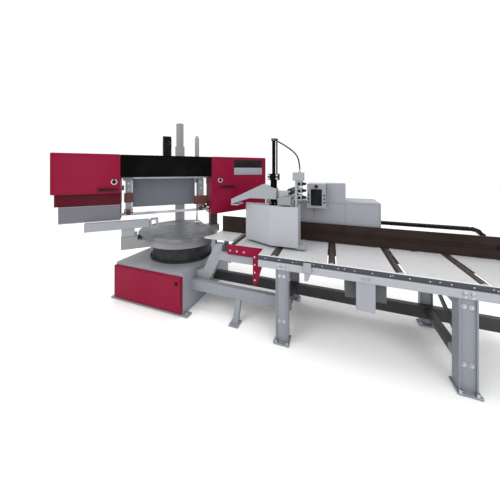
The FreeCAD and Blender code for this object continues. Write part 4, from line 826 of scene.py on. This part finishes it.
    def build(self, shop: Workshop) -> None:
        """Make every fitting of the saw head."""
        parts = [
            (self.teeth(), "band_teeth", "saw_head", "band_steel", 20.0),
            (self.guide_caps(self.left_guide), "left_guide_cover", "left_guide", "guide_brown", 40.0),
            (self.guide_caps(self.right_guide), "right_guide_cover", "saw_head", "guide_brown", 40.0),
            (self.arm_cap((-0.735, -0.630), (1.20, 1.32)), "left_arm_cap", "left_guide", "guide_brown", 40.0),
            (self.arm_cap((0.150, 0.345), (1.13, 1.25)), "right_arm_cap", "saw_head", "guide_brown", 40.0),
            (self.guide_screws(self.left_guide), "left_guide_screws", "left_guide", "bright_steel", 25.0),
            (self.guide_screws(self.right_guide), "right_guide_screws", "saw_head", "bright_steel", 25.0),
            (self.arm_hose(self.left_guide), "left_coolant_pipe", "left_guide", "bright_steel", 40.0),
            (self.arm_hose(self.right_guide), "right_coolant_pipe", "saw_head", "bright_steel", 40.0),
            (self.lip(-1.425, -0.765, -0.142, 1.262), "left_case_lip", "saw_head", "crimson_enamel", 40.0),
            (self.lip(-1.385, -0.770, -0.1495, 1.190), "trough_upper_lip", "saw_head", "light_grey", 40.0),
            (self.lip(-1.385, -0.770, -0.1495, 1.012), "trough_lower_lip", "saw_head", "light_grey", 40.0),
            (self.bridge_seams(), "bridge_seams", "saw_head", "black_enamel", 30.0),
            (self.fins(), "motor_fins", "saw_head", "mid_grey", 30.0),
            (self.gearbox_ribs(), "gearbox_cover", "saw_head", "mid_grey", 30.0),
            (self.chain_hoses(), "lift_chain_hoses", "saw_head", "black_rubber", 60.0),
            (self.brush(), "brush_bristles", "chip_brush", "black_plastic", 50.0),
        ]
        for solid, name, body, slot, smooth in parts:
            shop.dress(solid.piece(name, body, slot, smooth), slot)


@dataclass
class FeedCarriage:
    """Panel seams, vents, window, buttons, valve spools, clamp hose and jaw details of the gripper."""

    route: tuple[tuple[float, float, float], ...] = (
        (1.371, -0.277, 1.944), (1.371, -0.360, 1.944), (1.600, -0.380, 1.800), (1.640, -0.265, 1.700),
        (1.640, -0.265, 1.585))
    hose_radius: float = 0.007

    def hose(self) -> bpy.types.Object:
        """The clamp hose: one NURBS spline of third order through the route's control points."""
        curve = bpy.data.curves.new("clamp_hose_line", "CURVE")
        curve.dimensions = "3D"
        line = curve.splines.new("NURBS")
        line.points.add(len(self.route) - 1)
        for point, place in zip(line.points, self.route):
            point.co, point.radius = (*place, 1.0), self.hose_radius
        line.order_u, line.use_endpoint_u = 3, True
        curve.bevel_depth, curve.bevel_resolution, curve.resolution_u = 1.0, 6, 24
        curve.use_fill_caps = True
        piece = bpy.data.objects.new("clamp_hose_line", curve)
        bpy.context.scene.collection.objects.link(piece)
        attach(piece, "front_jaw")
        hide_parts("clamp_hose")
        return piece

    def fittings(self) -> Solid:
        """Hose unions at both ends of the clamp hose and the post's collar bolts."""
        solid = Solid.empty()
        solid.lathe([(0.0005, 0), (0.013, 0), (0.013, 0.010), (0.0095, 0.013), (0.0095, 0.030), (0.0005, 0.030)],
                    (1.371, -0.270, 1.944), np.array([0.0, -1.0, 0.0]), 20)
        solid.lathe([(0.0005, 0), (0.014, 0), (0.014, 0.012), (0.010, 0.016), (0.010, 0.034), (0.0005, 0.034)],
                    (1.640, -0.265, 1.5845), Along.Z, 20)
        for turn in np.arange(6) * np.pi / 3:
            solid.hexagon((1.361 + 0.041 * math.cos(turn), -0.25 + 0.041 * math.sin(turn), 1.2502), (0, 0, 1), 0.008,
                          0.006)
        for z in (1.518, 1.555):
            for x in (1.318, 1.404):
                solid.hexagon((x, -0.2952, z), (0, -1, 0), 0.013, 0.008)
        return solid

    def spools(self) -> Solid:
        """Six spool valves on the side of the valve block, stepped in three diameters, and their bolts."""
        solid = Solid.empty()
        for z in (1.327, 1.397, 1.467):
            for y in (-0.295, -0.235):
                solid.lathe([(0.0005, 0), (0.016, 0), (0.016, 0.012), (0.012, 0.018), (0.012, 0.034), (0.009, 0.038),
                             (0.0005, 0.038)], (1.664, y, z), Along.X, 20)
            solid.hexagon((1.640, -0.3202, z), (0, -1, 0), 0.016, 0.010)
        return solid

    def seams(self) -> Solid:
        """Hemmed panel edges and hinge barrels of the gripper box, seen as thin raised beads."""
        solid = Solid.empty()
        for y in (0.0985, 0.5215):
            for z in (0.882, 1.238):
                solid.swept(np.array([[x, y, z] for x in np.linspace(1.442, 2.424, 21)]), 0.0022, 8)
            for x in (1.442, 1.760, 2.090, 2.424):
                solid.swept(np.array([[x, y, z] for z in np.linspace(0.882, 1.238, 13)]), 0.0022, 8)
        for y in (0.115, 0.505):
            solid.swept(np.array([[x, y, 1.2515] for x in np.linspace(1.60, 2.424, 21)]), 0.0022, 8)
        return solid

    def vents(self) -> Solid:
        """Louvres on the back of the gripper box and on the pump box: each a half-round blade."""
        solid = Solid.empty()
        for x in (1.86, 2.20):
            for z in np.arange(0.98, 1.16, 0.022):
                solid.swept(np.array([[s, 0.5205, z] for s in np.linspace(x - 0.08, x + 0.08, 9)]), 0.006, 8, 0.5)
        for z in np.arange(1.30, 1.42, 0.02):
            solid.swept(np.array([[2.0930, s, z] for s in np.linspace(0.14, 0.26, 7)]), 0.005, 8, 0.6)
        return solid

    def screen(self) -> Solid:
        """The dark window of the control box, its corners rounded, standing in a thin frame."""
        return Solid.empty().rounded_box((1.732, -0.0275, 1.214), (1.848, -0.0225, 1.396), 0.0024)

    def buttons(self) -> Solid:
        """Two rows of push buttons and a mushroom stop beside the window."""
        solid, out = Solid.empty(), np.array([0.0, -1.0, 0.0])
        button = [(0.0005, 0), (0.009, 0), (0.009, 0.004), (0.007, 0.007), (0.0005, 0.007)]
        for x in (1.706, 1.874):
            for z in (1.25, 1.29, 1.33):
                solid.lathe([(r, -h) for r, h in button][::-1], (x, -0.0202, z), -out, 20)
        solid.lathe([(0.0005, 0), (0.008, 0), (0.008, 0.012), (0.017, 0.013), (0.018, 0.019), (0.012, 0.024),
                     (0.0005, 0.025)], (1.790, -0.0202, 1.427), out, 28)
        return solid

    def jaw_foot(self) -> Solid:
        """The slide foot at the right of the front jaw box, with a bolt in its top."""
        solid = Solid.empty().rounded_box((1.6265, -0.352, 0.806), (1.706, -0.285, 0.850), 0.004)
        solid.hexagon((1.680, -0.318, 0.850), (0, 0, 1), 0.016, 0.008)
        return solid

    def jaw_ribs(self) -> Solid:
        """Serrations of the jaw plate: upright oval ribs, 6 mm wide, every 12 mm."""
        solid = Solid.empty()
        for x in np.arange(1.045, 1.625, 0.012):
            solid.swept(np.array([[x, -0.1502, z] for z in (0.835, 0.95, 1.07, 1.185)]), 0.003, 6, 0.6)
        return solid

    def build(self, shop: Workshop) -> None:
        """Make every fitting of the feed carriage."""
        shop.dress(self.hose(), "black_rubber")
        parts = [
            (self.fittings(), "clamp_fittings", "front_jaw", "bright_steel", 25.0),
            (self.spools(), "valve_spools", "front_jaw", "black_plastic", 25.0),
            (self.seams(), "gripper_seams", "feed_carriage", "light_grey", 40.0),
            (self.vents(), "gripper_vents", "feed_carriage", "light_grey", 40.0),
            (self.screen(), "control_window", "feed_carriage", "black_plastic", 30.0),
            (self.buttons(), "control_buttons", "feed_carriage", "black_plastic", 30.0),
            (self.jaw_foot(), "jaw_slide_foot", "front_jaw", "light_grey", 40.0),
            (self.jaw_ribs(), "jaw_plate_ribs", "front_jaw", "bright_steel", 40.0),
        ]
        for solid, name, body, slot, smooth in parts:
            piece = solid.piece(name, body, slot, smooth)
            shop.dress(piece, "screen_black" if name == "control_window" else slot)


@dataclass
class Table:
    """Roller end rings, weld beads, and the base cover's folded rims and lock."""

    pitch: float = 0.510
    first: float = 0.930

    def roller_rings(self, index: int) -> Solid:
        """Turned steps at both ends of a roller: radius falls from 29.6 to 20 mm."""
        x, front = self.first + index * self.pitch, (-0.412 if index == 0 else -0.565)
        solid = Solid.empty()
        for start, sign in ((front, 1.0), (0.235, -1.0)):
            axis = np.array([0.0, sign, 0.0])
            profile = [(0.0005, -0.0012), (0.020, -0.0012), (0.0265, -0.0008), (0.0290, 0.0008), (0.0296, 0.004),
                       (0.0005, 0.004)]
            solid.lathe(profile, (x, start, 0.770), axis, 48)
        return solid

    def welds(self) -> Solid:
        """Weld beads where legs meet their feet: radius = 3 mm (1 + 0.25 sin(2 pi s / 7 mm))."""
        solid = Solid.empty()
        for x in LEG_FRAMES:
            for low, high in ((-0.600, -0.480), (0.200, 0.270)):
                for edge in (x - 0.0555, x + 0.0555):
                    along = np.linspace(low + 0.004, high - 0.004, 40)
                    lift = 0.0155 + 0.0012 * np.sin(along * 2 * np.pi / 0.007)
                    solid.swept(np.stack([np.full_like(along, edge), along, lift], -1), 0.0034, 8)
        return solid

    def cover_trim(self) -> Solid:
        """Folded rims along the top and bottom of the base cover."""
        solid = Solid.empty()
        for z in (0.052, 0.420):
            solid.swept(np.array([[x, -0.6302, z] for x in np.linspace(-0.552, 0.402, 31)]), 0.0024, 8)
        return solid

    def cover_lock(self) -> Solid:
        """The round lock of the base cover: a crowned collar with a sunk key disc."""
        profile = [(0.0005, 0), (0.020, 0), (0.019, 0.008), (0.0165, 0.0125), (0.0155, 0.0125), (0.0150, 0.0115),
                   (0.0005, 0.0115)]
        return Solid.empty().lathe(profile, (0.362, -0.631, 0.362), np.array([0.0, -1.0, 0.0]), 32)

    def build(self, shop: Workshop) -> None:
        """Make the details of table, legs and base cover."""
        for index in range(5):
            body = f"roller_{index + 1}"
            piece = self.roller_rings(index).piece(f"{body}_ends", body, "bright_steel", 30)
            shop.dress(piece, "bright_steel")
        shop.dress(self.welds().piece("foot_welds", "machine_frame", "base_blue_grey", 60), "base_blue_grey")
        shop.dress(self.cover_trim().piece("cover_rims", "base_cover", "crimson_enamel"), "crimson_enamel")
        shop.dress(self.cover_lock().piece("cover_lock_collar", "base_cover", "black_plastic"), "black_plastic")


@dataclass
class Studio:
    """Pale floor, soft lights and the camera."""

    eye: tuple[float, float, float] = (1.95, -2.75, 1.60)
    yaw: float = 21.5
    lens: float = 16.78
    shift: tuple[float, float] = (0.02, -0.158)

    def camera(self) -> None:
        """The level camera, its frame moved by the lens shift."""
        camera = bpy.data.cameras.new("view")
        camera.lens, camera.sensor_width = self.lens, 36.0
        camera.shift_x, camera.shift_y = self.shift
        camera.clip_end = 200.0
        holder = bpy.data.objects.new("view", camera)
        holder.location = self.eye
        holder.rotation_euler = (math.radians(90), 0, math.radians(self.yaw))
        bpy.context.scene.collection.objects.link(holder)
        bpy.context.scene.camera = holder

    def floor(self) -> None:
        """A large pale floor with faint unevenness."""
        shader = Shader("studio_floor")
        cloud = shader.noise(1.5, 3.0)
        material = shader.finish(shader.mix(cloud, (0.955, 0.955, 0.955), (0.975, 0.975, 0.975)), 0.75)
        reach, level = 60.0, -0.001
        corners = [(-reach, -reach, level), (reach, -reach, level), (reach, reach, level), (-reach, reach, level)]
        mesh = bpy.data.meshes.new("floor")
        mesh.from_pydata(corners, [], [(0, 1, 2, 3)])
        mesh.materials.append(material)
        piece = bpy.data.objects.new("floor", mesh)
        bpy.context.scene.collection.objects.link(piece)
        piece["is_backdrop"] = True

    def light(self, name: str, place: Sequence[float], aim: Sequence[float], wide: float, power: float) -> None:
        """A square soft light at a place, turned to face its aim."""
        lamp = bpy.data.lights.new(name, "AREA")
        lamp.size, lamp.energy = wide, power
        holder = bpy.data.objects.new(name, lamp)
        holder.location = place
        track = Vector(aim) - Vector(place)
        holder.rotation_euler = track.to_track_quat("-Z", "Y").to_euler()
        bpy.context.scene.collection.objects.link(holder)

    def build(self) -> None:
        """Set the world, floor, lights and camera."""
        world = bpy.data.worlds.new("studio")
        world.use_nodes = True
        world.node_tree.nodes["Background"].inputs["Color"].default_value = (1.0, 1.0, 1.0, 1.0)
        world.node_tree.nodes["Background"].inputs["Strength"].default_value = 1.04
        bpy.context.scene.world = world
        bpy.context.scene.view_settings.view_transform = "Standard"
        self.camera()
        self.floor()
        self.light("key", (-1.5, -5.0, 5.0), (0.8, 0.0, 0.8), 3.5, 130)
        self.light("fill", (5.0, -4.5, 3.5), (1.5, 0.0, 0.8), 3.0, 60)
        self.light("top", (1.0, 1.0, 6.0), (1.0, 0.0, 0.5), 5.0, 150)


def box_numbers() -> list[list[float]]:
    """The shown object's lowest and highest corners as plain numbers."""
    bpy.context.view_layer.update()
    return [[float(v) for v in corner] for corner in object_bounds()]


def main() -> None:
    """Load the frame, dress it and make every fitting."""
    logging.basicConfig(level=logging.INFO, format="%(message)s")
    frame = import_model()
    cad = box_numbers()
    studio, shop = Studio(), Workshop()
    studio.build()
    for name, node in frame["nodes"].items():
        shop.dress(node, CARRIED[name])
    for assembly in (FeedCarriage(), WheelDoors(), SawHead(), Table(), Bolts()):
        assembly.build(shop)
    {"cad": cad, "visual": box_numbers()}


if __name__ == "__main__":
    main()
